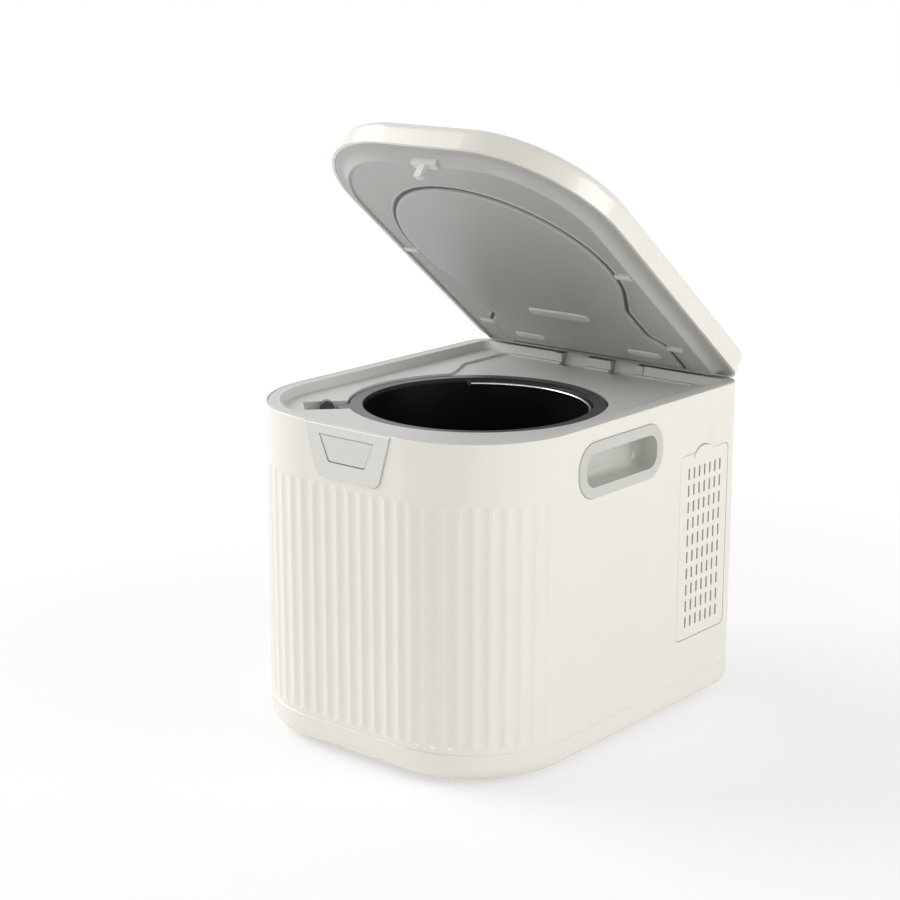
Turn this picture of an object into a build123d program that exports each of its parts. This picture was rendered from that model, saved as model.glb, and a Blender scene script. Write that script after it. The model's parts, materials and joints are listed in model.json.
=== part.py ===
"""Countertop electric food waste composter, as an assembly of separate parts.

Millimetres, +Z up, front towards -Y. Parts are modelled about the middle of the body's depth, in
heights that put the floor at FLOOR_Z. The whole assembly is then moved in Y and Z so that its
origin is the middle of its bounding box in plan, on the floor. The lid stands part open,
LID_OPEN degrees from closed.
"""
from build123d import *
import math
import os

# ---- body shell
BODY_W = 270.0
BODY_D = 323.0
R_FRONT = 88.0
R_REAR = 18.0
CASING_TOP = 257.0
SEAM_Z = 22.0
WALL = 2.8
FLOOR_T = 3.0
FLOOR_Z = -5.0
FOOT_H = 4.0
TRAY_Z = FLOOR_Z + FOOT_H
BASE_ROUND = 14.0
SEAM_CHAMFER = 0.5
LIP_H = 6.0
LIP_T = 2.0
GAP = 0.3
RUN = 0.06
RABBET = 1.8
SCREW_R = 1.9
SCREW_XY = [(-96, -96), (96, -96), (-112, 92), (112, 92)]
BOSS_R = 5.5
FOOT_XY = [(-78, -112), (78, -112), (-106, 122), (106, 122)]
FOOT_R = 9.0

# ---- rear panel and mains inlet
REAR_X = 96.0
REAR_Z0 = 36.0
REAR_Z1 = 206.0
REAR_T = 2.4
VENT_ROWS = 8
VENT_PITCH = 7.0
INLET_X = -56.0
INLET_Z = 76.0
INLET_W = 27.0
INLET_H = 20.0
INLET_DEPTH = 17.0
INLET_WALL = 2.2
INLET_PINS = ((-7, -2), (0, 2), (7, -2))

# ---- flutes down the rounded front
FLUTE_PITCH = 12.0
FLUTE_COUNT = 28
FLUTE_W = 10.4
FLUTE_DEPTH = 0.9
FLUTE_Z0 = 25.5
FLUTE_Z1 = 212.0

# ---- deck
RIM_T = 3.5
RIM_INSET = 2.0
RIM_W = 9.0
DECK_Z = 250.0
DECK_T = 3.4
OPEN_R = 102.0
RIM_SLOPE = 2.0
UNDER_Z = DECK_Z - DECK_T
COLLAR_Z = 245.4
POCKET_R = 136.0
POCKET_W = 27.0
POCKET_Z = 242.0
POCKET_WALL = 2.4
NOTCH_Y = 142.5
WING_DEPTH = 1.8
WING_ROUND = 8.0
WING = [(80.0, 47.0), (84.0, 62.0), (99.0, 92.0), (99.0, 145.5)]

# ---- bucket, on a vertical axis forward of the middle of the body
AXIS_Y = -11.0
BUCKET_R = 90.3
BUCKET_WALL = 2.0
BUCKET_FLANGE_R = 100.5
BUCKET_TOP = 248.6
FLANGE_T = 3.0
BUCKET_BOTTOM = 80.0
BUCKET_FLOOR_T = 3.0
BUCKET_FLOOR_ROUND = 16.0
BAIL_R = 88.0
BAIL_WIRE_R = 1.3
BAIL_PIVOT_R = 1.8
BAIL_Z = 244.0
BAIL_DIR = -46.0
LUG_DIR = 227.0
LUG_W = 15.0
LUG_L = 9.0
BUSH_R = 14.0
PADDLE_SHAFT_R = 8.0
COUPLING_R = 15.0
COUPLING_Z1 = BUCKET_BOTTOM - 3.6

# ---- heated chamber
LINER_R = 105.0
LINER_T = 2.0
LINER_Z0 = 66.0
LINER_SCREWS = (20.0, 110.0, 160.0, 290.0)
HEATER_R = 86.0
PORT_Z = 222.0
PORT_R = 13.0

# ---- lid, closed position
LID_OPEN = 39.0
HINGE_Y = 156.0
HINGE_Z = 245.0
LID_HALF_W = 131.6
LID_FRONT = -161.3
LID_REAR = 157.0
LID_R_FRONT = 93.0
LID_R_REAR = 20.0
LID_RIM_Z = 258.0
LID_H = 21.0
LID_ROUND = 8.0
LID_WALL = 2.6
PANEL_T = 2.4
BEAD_INSET = 17.0
BEAD_W = 2.4
BEAD_H = 0.9
SKIRT_INSET = 16.0
RIM_LAND = 11.6
PLATEAU_DROP = 5.5
COVER_R = 96.5
COVER_Y = -15.6
COVER_DROP = 8.4
NECK_HALF = 77.0
FLARE_HALF = 88.0
FLARE_Y = 88.0
FLARE_RUN = 12.0
COVER_REAR = 138.0
SEAL_W = 3.0
SEAL_H = 0.5
PLATEAU_Z = LID_RIM_Z - PLATEAU_DROP
COVER_Z = LID_RIM_Z - COVER_DROP
COVER_JOIN = 24.0
BARS = [(0.0, 68.0, 56.0, 9.0), (-58.0, 117.0, 28.0, 8.0), (58.0, 117.0, 28.0, 8.0)]
BAR_H = 1.0
CLIPS = [(-1, -8.0, 97.5), (1, -8.0, 97.5), (-1, 104.0, 88.0), (1, 104.0, 88.0)]
CLIP_L = 15.0
SENSE_R = 117.5
SENSE_DOME = 5.5
SENSE_T = 7.0
SENSE_H = 4.4
SENSE_GAP = 1.2
TOUCH_W = 92.0
TOUCH_D = 24.0
TOUCH_Y = -118.0
TOUCH_T = 1.6
LAMP_R = 1.8
LAMP_X = (-27.0, 0.0, 27.0)

# ---- hinge
ARM_X = 25.5
ARM_W = 24.0
ARM_GAP = 0.7
ARM_ROOM = 12.0
PIN_R = 2.0
BARREL_R = 5.2
BRACKET_HALF = 45.0
BRACKET_ROUND = 2.4
BRACKET_FRONT = 148.3
BRACKET_Z0 = 235.5
SLOT_FLOOR = 239.2

# ---- front badge, release button and latch
BADGE_TOP_HALF = 43.0
BADGE_LOW_HALF = 31.0
BADGE_Z0 = 215.5
BADGE_PROUD = 1.4
BADGE_T = 4.0
BUTTON_TOP_HALF = 26.5
BUTTON_LOW_HALF = 17.5
BUTTON_Z0 = 229.0
BUTTON_Z1 = 248.5
BUTTON_GAP = 0.5
HOOK_Y = -149.0
HOOK_PROUD = 2.0
BUTTON_T = 5.0
SLIDER_Z = 243.2
SLIDER_T = 2.4
CATCH_Y = -143.4
SPRING_Z = 233.5
SEAT_Y = -146.0

# ---- side handle cups
CUP_Y0 = -60.0
CUP_Y1 = 47.0
CUP_Z0 = 202.0
CUP_Z1 = 245.0
CUP_R = 19.0
CUP_LIP = 8.5
CUP_PROUD = 1.2
CUP_DEPTH = 19.0
CUP_WALL = 2.2

# ---- filter drawer, right side
BAY_Y0 = 73.0
BAY_Y1 = 141.0
BAY_Z0 = 57.0
BAY_Z1 = 210.0
BAY_R = 5.0
COVER_PLAY = 0.4
GRILLE_COLS = 7
GRILLE_ROWS = 10
GRILLE_DY = 7.3
GRILLE_DZ = 13.6
GRILLE_W = 2.2
GRILLE_H = 9.4
GRILLE_Y0 = 85.5
GRILLE_Z0 = 71.5
CART_DEPTH = 46.0
FRAME_T = 2.0
FILTER_COVER_T = 2.8
TAB_HALF = 13.0
TAB_H = 4.5
TAB_PROUD = 0.9
SCOOP_Y = 106.0
SCOOP_Z = 222.0
SCOOP_W = 15.0
SCOOP_DEPTH = 2.0
FRAME_X = BODY_W / 2 - WALL - GAP
CART_X0 = FRAME_X - CART_DEPTH

# ---- blower and duct
FAN_X = 2.0
FAN_Z = 152.0
FAN_R = 34.0
FAN_Y0 = 112.5
FAN_Y1 = 142.0
DUCT_Z0 = 158.0
DUCT_Z1 = 184.0

# ---- drive train
MODULE = 1.5
PINION_T = 12
WHEEL1_T = 50
SMALL1_T = 16
WHEEL2_T = 60
SMALL2_T = 16
OUTPUT_T = 75
BACKLASH = 0.25
GEAR_W = 7.0
LAYER1_Z = 37.0
LAYER2_Z = 45.5
GEARBOX_Z0 = 32.0
GEARBOX_Z1 = 57.0
CHASSIS_Z0 = 30.0
CHASSIS_T = 2.0
GEARBOX_WALL = 2.5
SHAFT_R = 6.0
MOTOR_R = 24.0
MOTOR_H = 78.0
AXLE_R = 3.0
TRAIN_DX = -0.584
TRAIN_DY = math.sqrt(1 - TRAIN_DX**2)
TRAIN_LINE = math.degrees(math.atan2(TRAIN_DY, TRAIN_DX))
REACH_2 = MODULE * (OUTPUT_T + SMALL2_T) / 2
REACH_1 = REACH_2 + MODULE * (WHEEL2_T + SMALL1_T) / 2
REACH_M = REACH_1 + MODULE * (WHEEL1_T + PINION_T) / 2

parts = {}


def rounded_outline(half_w, y_front, y_rear, r_front, r_rear):
    """Plan outline with large front corners and small rear corners."""
    fx = half_w - r_front
    rx = half_w - r_rear
    edges = [
        Line((-fx, y_front), (fx, y_front)),
        CenterArc((fx, y_front + r_front), r_front, -90, 90),
        Line((half_w, y_front + r_front), (half_w, y_rear - r_rear)),
        CenterArc((rx, y_rear - r_rear), r_rear, 0, 90),
        Line((rx, y_rear), (-rx, y_rear)),
        CenterArc((-rx, y_rear - r_rear), r_rear, 90, 90),
        Line((-half_w, y_rear - r_rear), (-half_w, y_front + r_front)),
        CenterArc((-fx, y_front + r_front), r_front, 180, 90),
    ]
    return make_face(edges)


def body_outline(inset):
    return rounded_outline(
        BODY_W / 2 - inset, -BODY_D / 2 + inset, BODY_D / 2 - inset, R_FRONT - inset, R_REAR - inset
    )


def lid_outline(inset):
    return rounded_outline(
        LID_HALF_W - inset,
        LID_FRONT + inset,
        LID_REAR - inset,
        LID_R_FRONT - inset,
        max(LID_R_REAR - inset, 2.0),
    )


def prism(face, z0, z1):
    return extrude(Pos(0, 0, z0) * face, amount=z1 - z0)


def disc(x, y, r, z0, z1):
    return Pos(x, y, z0) * Cylinder(r, z1 - z0, align=(Align.CENTER, Align.CENTER, Align.MIN))


def ring(x, y, r_out, r_in, z0, z1):
    return disc(x, y, r_out, z0, z1) - disc(x, y, r_in, z0 - 1, z1 + 1)


def block(x0, x1, y0, y1, z0, z1):
    return Pos((x0 + x1) / 2, (y0 + y1) / 2, (z0 + z1) / 2) * Box(x1 - x0, y1 - y0, z1 - z0)


def rod_x(y, z, r, x0, x1):
    return Pos((x0 + x1) / 2, y, z) * Rot(0, 90, 0) * Cylinder(r, x1 - x0)


def rod_y(x, z, r, y0, y1):
    return Pos(x, (y0 + y1) / 2, z) * Rot(90, 0, 0) * Cylinder(r, y1 - y0)


def side_prism(y0, y1, z0, z1, radius, x0, x1):
    """Rounded rectangle in the YZ plane, extruded from x0 to x1."""
    face = Plane((x0, (y0 + y1) / 2, (z0 + z1) / 2), x_dir=(0, 1, 0), z_dir=(1, 0, 0)) * RectangleRounded(
        y1 - y0, z1 - z0, radius
    )
    return extrude(face, amount=x1 - x0, dir=(1, 0, 0))


def rear_prism(x0, x1, z0, z1, radius, y0, y1):
    """Rounded rectangle in the XZ plane, extruded from y0 to y1."""
    face = Plane(((x0 + x1) / 2, y0, (z0 + z1) / 2), x_dir=(1, 0, 0), z_dir=(0, -1, 0)) * RectangleRounded(
        x1 - x0, z1 - z0, radius
    )
    return extrude(face, amount=y1 - y0, dir=(0, 1, 0))


def trapezoid(half_top, half_low, z0, z1, y0, y1, radius):
    """Upright trapezoid with rounded lower corners, extruded from y0 to y1."""
    face = Plane((0, y0, 0), x_dir=(1, 0, 0), z_dir=(0, -1, 0)) * make_face(
        Polyline((-half_top, z1), (-half_low, z0), (half_low, z0), (half_top, z1), close=True)
    )
    solid = extrude(face, amount=y1 - y0, dir=(0, 1, 0))
    edges = solid.edges().filter_by(Axis.Y)
    return fillet(edges.group_by(Axis.Z)[0], radius)


def open_lid(shape):
    """Turn a part of the closed lid to its standing position about the hinge axis."""
    return Pos(0, HINGE_Y, HINGE_Z) * Rot(-LID_OPEN, 0, 0) * Pos(0, -HINGE_Y, -HINGE_Z) * shape


def add(name, shape):
    parts[name] = shape
    return shape


# ---------------------------------------------------------------- casing and base
def flute_place(s):
    """Plan position and outward angle of the front surface at arc length s from its middle."""
    flat = BODY_W / 2 - R_FRONT
    side = math.copysign(1.0, s)
    turn = max(abs(s) - flat, 0.0) / R_FRONT
    x = side * (min(abs(s), flat) + R_FRONT * math.sin(turn))
    y = -BODY_D / 2 + R_FRONT * (1 - math.cos(turn))
    return x, y, side * math.sin(turn), -math.cos(turn)


def flute_cutters():
    """Long capsules that leave shallow round-ended flutes in the front."""
    radius = (FLUTE_W / 2) ** 2 / (2 * FLUTE_DEPTH) + FLUTE_DEPTH / 2
    z0 = FLUTE_Z0 + FLUTE_W / 2
    z1 = FLUTE_Z1 - FLUTE_W / 2
    cutters = []
    for k in range(FLUTE_COUNT):
        s = (k - (FLUTE_COUNT - 1) / 2) * FLUTE_PITCH
        x, y, nx, ny = flute_place(s)
        out = radius - FLUTE_DEPTH
        cx, cy = x + nx * out, y + ny * out
        rod = disc(cx, cy, radius, z0, z1)
        cutters.append(rod + Pos(cx, cy, z0) * Sphere(radius) + Pos(cx, cy, z1) * Sphere(radius))
    return cutters


def cup_window(play, x0, x1):
    return side_prism(CUP_Y0 - play, CUP_Y1 + play, CUP_Z0 - play, CUP_Z1 + play, CUP_R + play, x0, x1)


def bay_window(play, x0, x1):
    return side_prism(BAY_Y0 - play, BAY_Y1 + play, BAY_Z0 - play, BAY_Z1 + play, BAY_R + play, x0, x1)


def finger_scoop():
    """Shallow round-topped finger scoop above the filter cover's tab."""
    radius = (SCOOP_W**2 + SCOOP_DEPTH**2) / (2 * SCOOP_DEPTH)
    x = BODY_W / 2 - SCOOP_DEPTH + radius
    return Pos(x, SCOOP_Y, SCOOP_Z) * Sphere(radius)


def tab_shape(play, x0, x1):
    """Low arched tab on top of the filter cover, cut or filled through the casing's side."""
    radius = (TAB_HALF**2 + TAB_H**2) / (2 * TAB_H) + play
    z = BAY_Z1 + TAB_H - radius + play
    full = Pos((x0 + x1) / 2, SCOOP_Y, z) * Rot(0, 90, 0) * Cylinder(radius, x1 - x0)
    return full & block(x0, x1, SCOOP_Y - TAB_HALF - 1, SCOOP_Y + TAB_HALF + 1, BAY_Z1 - 4, BAY_Z1 + 20)


def outer_casing():
    outer = prism(body_outline(0), SEAM_Z, CASING_TOP)
    outer = chamfer(outer.edges().group_by(Axis.Z)[0], SEAM_CHAMFER)
    outer = fillet(outer.edges().group_by(Axis.Z)[-1], 0.8)
    shell = outer - prism(body_outline(WALL), SEAM_Z - 1, CASING_TOP + 1)
    shell -= prism(body_outline(RABBET), CASING_TOP - RIM_T - GAP, CASING_TOP + 1)
    half = BODY_W / 2
    backing = block(half - WALL - 3, half - WALL, BAY_Y0 - 6, BAY_Y1, BAY_Z1 - 8, BAY_Z1 + 34)
    shell += backing
    for side in (-1, 1):
        x0, x1 = sorted((side * (half + 2), side * (half - 8)))
        shell -= cup_window(GAP, x0, x1)
    shell -= bay_window(0, half - 8, half + 2)
    shell -= tab_shape(0, half - 8, half + 2)
    shell -= finger_scoop()
    shell -= rear_prism(-REAR_X, REAR_X, REAR_Z0, REAR_Z1, 6, BODY_D / 2 - 8, BODY_D / 2 + 2)
    wide = BRACKET_HALF + GAP
    shell -= block(-wide, wide, BODY_D / 2 - 8, BODY_D / 2 + 2, BRACKET_Z0 - GAP, CASING_TOP + 2)
    front = -BODY_D / 2
    shell -= trapezoid(
        BADGE_TOP_HALF, BADGE_LOW_HALF, BADGE_Z0, CASING_TOP + 1, front - 2, front + WALL + 1, 9.0
    )
    for cutter in flute_cutters():
        shell -= cutter
    return shell


def base_tray():
    """Floor tray with a rounded lower edge, a lip inside the casing and posts for the screws."""
    outer = prism(body_outline(0), TRAY_Z, SEAM_Z)
    outer = fillet(outer.edges().group_by(Axis.Z)[0], BASE_ROUND)
    outer = chamfer(outer.edges().group_by(Axis.Z)[-1], SEAM_CHAMFER)
    tray = outer - prism(body_outline(BASE_ROUND), TRAY_Z + FLOOR_T, SEAM_Z + 1)
    tray -= prism(body_outline(WALL + GAP + LIP_T), SEAM_Z - 7, SEAM_Z + 1)
    lip = prism(body_outline(WALL + GAP), SEAM_Z - 1, SEAM_Z + LIP_H)
    tray += lip - prism(body_outline(WALL + GAP + LIP_T), SEAM_Z - 2, SEAM_Z + LIP_H + 1)
    for x, y in SCREW_XY:
        tray += disc(x, y, BOSS_R, TRAY_Z + 1, CHASSIS_Z0)
        tray -= disc(x, y, SCREW_R, TRAY_Z - 1, GEARBOX_Z0)
        tray -= disc(x, y, 4.2, TRAY_Z - 1, TRAY_Z + 2.2)
    for k in range(9):
        x = (k - 4) * 9.0
        tray -= block(x - 1.8, x + 1.8, -34, 6, TRAY_Z - 1, TRAY_Z + FLOOR_T + 1)
    for x, y in FOOT_XY:
        tray -= disc(x, y, FOOT_R - 3, TRAY_Z - 1, TRAY_Z + 1.5)
    return tray


def rubber_feet():
    feet = []
    for x, y in FOOT_XY:
        foot = disc(x, y, FOOT_R, FLOOR_Z, TRAY_Z)
        foot = fillet(foot.edges().group_by(Axis.Z)[0], 1.0)
        feet.append(foot + disc(x, y, FOOT_R - 3, TRAY_Z - 1, TRAY_Z + 1.5))
    return Compound(children=feet)


def machine_screw(x, y, z_head, length, up=True):
    """Cross-head screw whose head face is at z_head."""
    way = 1 if up else -1
    head = disc(x, y, 3.6, *sorted((z_head, z_head + way * 2.0)))
    shank = disc(x, y, SCREW_R - 0.1, *sorted((z_head + way * 1.0, z_head + way * length)))
    slot = block(x - 2.2, x + 2.2, y - 0.5, y + 0.5, *sorted((z_head - 1, z_head + way * 1.0)))
    cross = block(x - 0.5, x + 0.5, y - 2.2, y + 2.2, *sorted((z_head - 1, z_head + way * 1.0)))
    return head + shank - slot - cross


def base_screws():
    length = CHASSIS_Z0 + 1.6 - TRAY_Z
    return Compound(children=[machine_screw(x, y, TRAY_Z + 0.2, length) for x, y in SCREW_XY])


def rear_cover():
    """Flat rear panel with rows of vent slots and the mains inlet's cut-out."""
    y0 = BODY_D / 2 - REAR_T
    cover = rear_prism(-REAR_X + GAP, REAR_X - GAP, REAR_Z0 + GAP, REAR_Z1 - GAP, 5.7, y0, BODY_D / 2)
    for k in range(VENT_ROWS):
        z = 128.0 + k * VENT_PITCH
        for x in (-52.0, 0.0, 52.0):
            cover -= rear_prism(x - 20, x + 20, z, z + 3.0, 1.4, y0 - 1, BODY_D / 2 + 1)
    half_w = INLET_W / 2
    half_h = INLET_H / 2
    cover -= rear_prism(
        INLET_X - half_w, INLET_X + half_w, INLET_Z - half_h, INLET_Z + half_h, 2.0, y0 - 1, BODY_D / 2 + 1
    )
    flange_y = y0 - 2.0
    frame = rear_prism(-REAR_X - 6, REAR_X + 6, REAR_Z0 - 6, REAR_Z1 + 6, 8, flange_y - 0.4, y0 - 0.4)
    frame -= rear_prism(-REAR_X + 8, REAR_X - 8, REAR_Z0 + 8, REAR_Z1 - 8, 4, flange_y - 2, y0 + 1)
    posts = rear_prism(-REAR_X + 2, -REAR_X + 8.5, REAR_Z0 + 20, REAR_Z1 - 20, 1, flange_y - 0.2, y0 + 0.5)
    cover += frame + posts + mirror(posts, Plane.YZ)
    return cover


def mains_inlet():
    """Recessed inlet with three blade pins, seated in the rear panel."""
    half_w = INLET_W / 2 - GAP
    half_h = INLET_H / 2 - GAP
    x0, x1 = INLET_X - half_w, INLET_X + half_w
    z0, z1 = INLET_Z - half_h, INLET_Z + half_h
    face = BODY_D / 2
    wall = INLET_WALL
    body = rear_prism(x0, x1, z0, z1, 1.7, face - INLET_DEPTH - wall, face + 0.6)
    body -= rear_prism(x0 + wall, x1 - wall, z0 + wall, z1 - wall, 3, face - INLET_DEPTH, face + 2)
    for dx, dz in INLET_PINS:
        x, z = INLET_X + dx, INLET_Z + dz
        body += block(x - 1, x + 1, face - INLET_DEPTH - 1, face - 4, z - 2, z + 2)
    return body


def handle_cup(side):
    """Recessed carrying grip with a proud lip round its mouth."""
    half = BODY_W / 2
    outer = cup_window(0, half - WALL, half + CUP_PROUD)
    outer = fillet(outer.faces().sort_by(Axis.X)[-1].edges(), 0.9)
    y0, y1 = CUP_Y0 + CUP_LIP, CUP_Y1 - CUP_LIP
    z0, z1 = CUP_Z0 + CUP_LIP, CUP_Z1 - CUP_LIP
    r_in = CUP_R - CUP_LIP
    backing = cup_window(4, half - WALL - 2.3, half - WALL - GAP)
    wall = CUP_WALL
    box = side_prism(
        y0 - wall, y1 + wall, z0 - wall, z1 + wall, r_in + wall, half - CUP_DEPTH - 2, half - 1
    )
    cup = outer + backing + box
    pocket = side_prism(y0, y1, z0, z1, r_in, half - CUP_DEPTH, half + 4)
    pocket = fillet(pocket.faces().sort_by(Axis.X)[0].edges(), 6.0)
    cup -= pocket
    return cup if side > 0 else mirror(cup, Plane.YZ)


# ---------------------------------------------------------------- deck, hinge bracket and latch


def turned(angle, shape):
    """Turn a shape made along +X about the bucket's axis."""
    return Pos(0, AXIS_Y, 0) * Rot(0, 0, angle) * shape


def top_deck():
    """Deck with a raised rim, a sunk floor round the bucket, a rear wing and a front pocket."""
    inner = RIM_INSET + RIM_W
    deck = prism(body_outline(RIM_INSET), CASING_TOP - RIM_T, CASING_TOP)
    deck = fillet(deck.edges().group_by(Axis.Z)[-1], 1.2)
    deck += prism(body_outline(inner - DECK_T + 0.4), UNDER_Z, CASING_TOP - 1)
    half = POCKET_W / 2
    wall = POCKET_WALL
    outer_half = half + wall
    deck += turned(LUG_DIR, block(98, POCKET_R + wall, -outer_half, outer_half, POCKET_Z - wall, UNDER_Z + 1))
    deck += disc(0, AXIS_Y, OPEN_R + 2.6, COLLAR_Z, UNDER_Z + 1)
    low = Pos(0, 0, DECK_Z) * body_outline(inner + RIM_SLOPE)
    high = Pos(0, 0, CASING_TOP + 0.5) * body_outline(inner)
    deck -= loft([low, high])
    deck -= turned(LUG_DIR, block(90, POCKET_R, -half, half, POCKET_Z, DECK_Z + 1))
    deck -= disc(0, AXIS_Y, OPEN_R, POCKET_Z - 4, DECK_Z + 1)
    wing = make_face(Polyline(*WING, *[(-x, y) for x, y in reversed(WING)], close=True))
    wing = fillet(wing.vertices().group_by(Axis.Y)[-1], WING_ROUND)
    deck -= prism(wing, DECK_Z - WING_DEPTH, DECK_Z + 1)
    deck -= block(
        -BRACKET_HALF - GAP, BRACKET_HALF + GAP, BRACKET_FRONT - GAP, BODY_D / 2, BRACKET_Z0, CASING_TOP + 1
    )
    deck -= block(-10, 10, HOOK_Y - 3, HOOK_Y + 10.5, POCKET_Z - 4, CASING_TOP + 1)
    half = ARM_W / 2 + ARM_GAP
    for x in (-ARM_X, ARM_X):
        deck -= block(x - half, x + half, NOTCH_Y, BRACKET_FRONT, UNDER_Z - 1, CASING_TOP + 1)
    return deck


def hinge_bracket():
    """Block at the rear of the deck with two slots for the lid's arms and a bore for the pin."""
    solid = block(-BRACKET_HALF, BRACKET_HALF, BRACKET_FRONT, BODY_D / 2, BRACKET_Z0, CASING_TOP)
    solid = chamfer(solid.edges().group_by(Axis.Z)[-1].sort_by(Axis.Y)[-1], BRACKET_ROUND)
    half = ARM_W / 2 + ARM_GAP
    for side in (-1, 1):
        x = side * ARM_X
        solid -= block(x - half, x + half, BRACKET_FRONT - 1, BODY_D / 2 + 1, SLOT_FLOOR, CASING_TOP + 1)
    return solid - rod_x(HINGE_Y, HINGE_Z, PIN_R, -BRACKET_HALF + 2, BRACKET_HALF + 1)


def hinge_pin():
    return rod_x(HINGE_Y, HINGE_Z, PIN_R, -BRACKET_HALF + 2, BRACKET_HALF - 0.5)


def hinge_arms():
    """Two curved arms that run from barrels on the pin up into the lid."""
    arms = []
    foot_z = LID_RIM_Z + PANEL_T
    back_y = LID_REAR - LID_WALL - 0.6
    for side in (-1, 1):
        x0 = side * ARM_X - ARM_W / 2
        x1 = x0 + ARM_W
        profile = make_face(
            Polyline(
                (HINGE_Y - 4.2, HINGE_Z - 3.0),
                (HINGE_Y + 4.6, HINGE_Z + 2.2),
                (back_y, LID_RIM_Z - 1.0),
                (back_y, foot_z + 3.0),
                (LID_REAR - 30, foot_z + 3.0),
                (LID_REAR - 30, foot_z),
                (LID_REAR - 10.5, foot_z),
                (LID_REAR - 9.5, LID_RIM_Z - 3.5),
                close=True,
            )
        )
        side_face = Plane((x0, 0, 0), x_dir=(0, 1, 0), z_dir=(1, 0, 0)) * profile
        neck = extrude(side_face, amount=ARM_W, dir=(1, 0, 0))
        arm = neck + rod_x(HINGE_Y, HINGE_Z, BARREL_R, x0, x1)
        arms.append(arm - rod_x(HINGE_Y, HINGE_Z, PIN_R + RUN, x0 - 1, x1 + 1))
    return open_lid(Compound(children=arms))


def latch_bezel():
    """Pale apron that hangs from the deck over the casing's front, with the button's opening."""
    front = -BODY_D / 2 - BADGE_PROUD
    rear = front + BADGE_T
    bezel = trapezoid(
        BADGE_TOP_HALF - GAP, BADGE_LOW_HALF - GAP, BADGE_Z0 + GAP, CASING_TOP + 1, front, rear, 8.7
    )
    bezel -= block(-60, 60, front - 1, front + BADGE_T + 1, CASING_TOP - 0.6, CASING_TOP + 2)
    bezel = chamfer(bezel.faces().sort_by(Axis.Y)[0].edges(), 0.7)
    bezel -= trapezoid(
        BUTTON_TOP_HALF + BUTTON_GAP,
        BUTTON_LOW_HALF + BUTTON_GAP,
        BUTTON_Z0 - BUTTON_GAP,
        BUTTON_Z1 + BUTTON_GAP,
        front - 1,
        front + BADGE_T + 1,
        2.4,
    )
    return bezel - block(-60, 60, -BODY_D / 2 + RIM_INSET - GAP, 0, CASING_TOP - RIM_T - GAP, CASING_TOP + 1)


def release_button():
    front = -BODY_D / 2 - BADGE_PROUD + 0.3
    button = trapezoid(BUTTON_TOP_HALF, BUTTON_LOW_HALF, BUTTON_Z0, BUTTON_Z1, front, front + BUTTON_T, 2.0)
    button = fillet(button.faces().sort_by(Axis.Y)[0].edges(), 0.8)
    back = front + BUTTON_T
    stem = block(-14, 14, back - 0.5, back + 4, SLIDER_Z - 3.5, SLIDER_Z)
    peg = rod_y(0, SPRING_Z, 1.8, back - 0.5, back + 3)
    return button + stem + peg


def latch_slider():
    """Sliding catch: a window round the lid's hook, whose rear edge holds the hook's nose."""
    y0 = -BODY_D / 2 - BADGE_PROUD + 0.3 + BUTTON_T
    plate = block(-17, 17, y0, CATCH_Y + 6.5, SLIDER_Z, SLIDER_Z + SLIDER_T)
    return plate - block(-11, 11, y0 + 4.6, CATCH_Y, SLIDER_Z - 1, SLIDER_Z + SLIDER_T + 1)


def latch_housing():
    """Open box under the deck that guides the catch and seats its spring."""
    x = 22.0
    y0, y1 = -153.4, -131.0
    z0 = 226.5
    box = block(-x, x, y0, y1, z0, UNDER_Z)
    box -= block(-x + 2, x - 2, y0 - 1, y1 - 2, z0 + 2, UNDER_Z + 1)
    box -= block(-18, 18, y1 - 4, y1 + 1, SLIDER_Z - 4, UNDER_Z + 1)
    box += block(-7, 7, SEAT_Y, SEAT_Y + 1.6, z0 + 1, SPRING_Z + 4.5)
    box += block(-x + 1, -18.2, y0, y1, SLIDER_Z - 2.2, SLIDER_Z - GAP)
    box += block(18.2, x - 1, y0, y1, SLIDER_Z - 2.2, SLIDER_Z - GAP)
    ledge_l = block(-18.6, -15.5, y0 + 3, y1 - 1, SLIDER_Z - 2.2, SLIDER_Z - GAP)
    ledge_r = block(15.5, 18.6, y0 + 3, y1 - 1, SLIDER_Z - 2.2, SLIDER_Z - GAP)
    return box + ledge_l + ledge_r


def coil_spring(x, z, y0, y1, radius, wire, turns):
    """Compression spring along Y with flat ground ends."""
    pitch = (y1 - y0 - wire * 2) / turns
    path = Helix(pitch=pitch, height=pitch * turns, radius=radius)
    start = path @ 0
    section = Plane(origin=start, z_dir=path % 0) * Circle(wire)
    coil = sweep(section, path=path)
    return Pos(x, y0 + wire, z) * Rot(-90, 0, 0) * coil


def button_spring():
    back = -BODY_D / 2 - BADGE_PROUD + 0.3 + BUTTON_T
    return coil_spring(0, SPRING_Z, back + 0.1, SEAT_Y - 0.1, 3.0, 0.45, 4)


def lid_sensor_housing():
    """Round-topped cap of the lid switch, standing in the front pocket."""
    inner = -POCKET_W / 2 + SENSE_GAP
    z1 = POCKET_Z + SENSE_H
    body = block(SENSE_R - SENSE_DOME, SENSE_R + SENSE_DOME, inner, inner + SENSE_T, POCKET_Z, z1)
    dome = Pos(SENSE_R, inner + SENSE_T / 2, z1) * Rot(90, 0, 0) * Cylinder(SENSE_DOME, SENSE_T)
    return turned(LUG_DIR, body + dome - block(90, 140, -20, 20, POCKET_Z - 20, POCKET_Z))


# ---------------------------------------------------------------- bucket, bail and paddle


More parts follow.
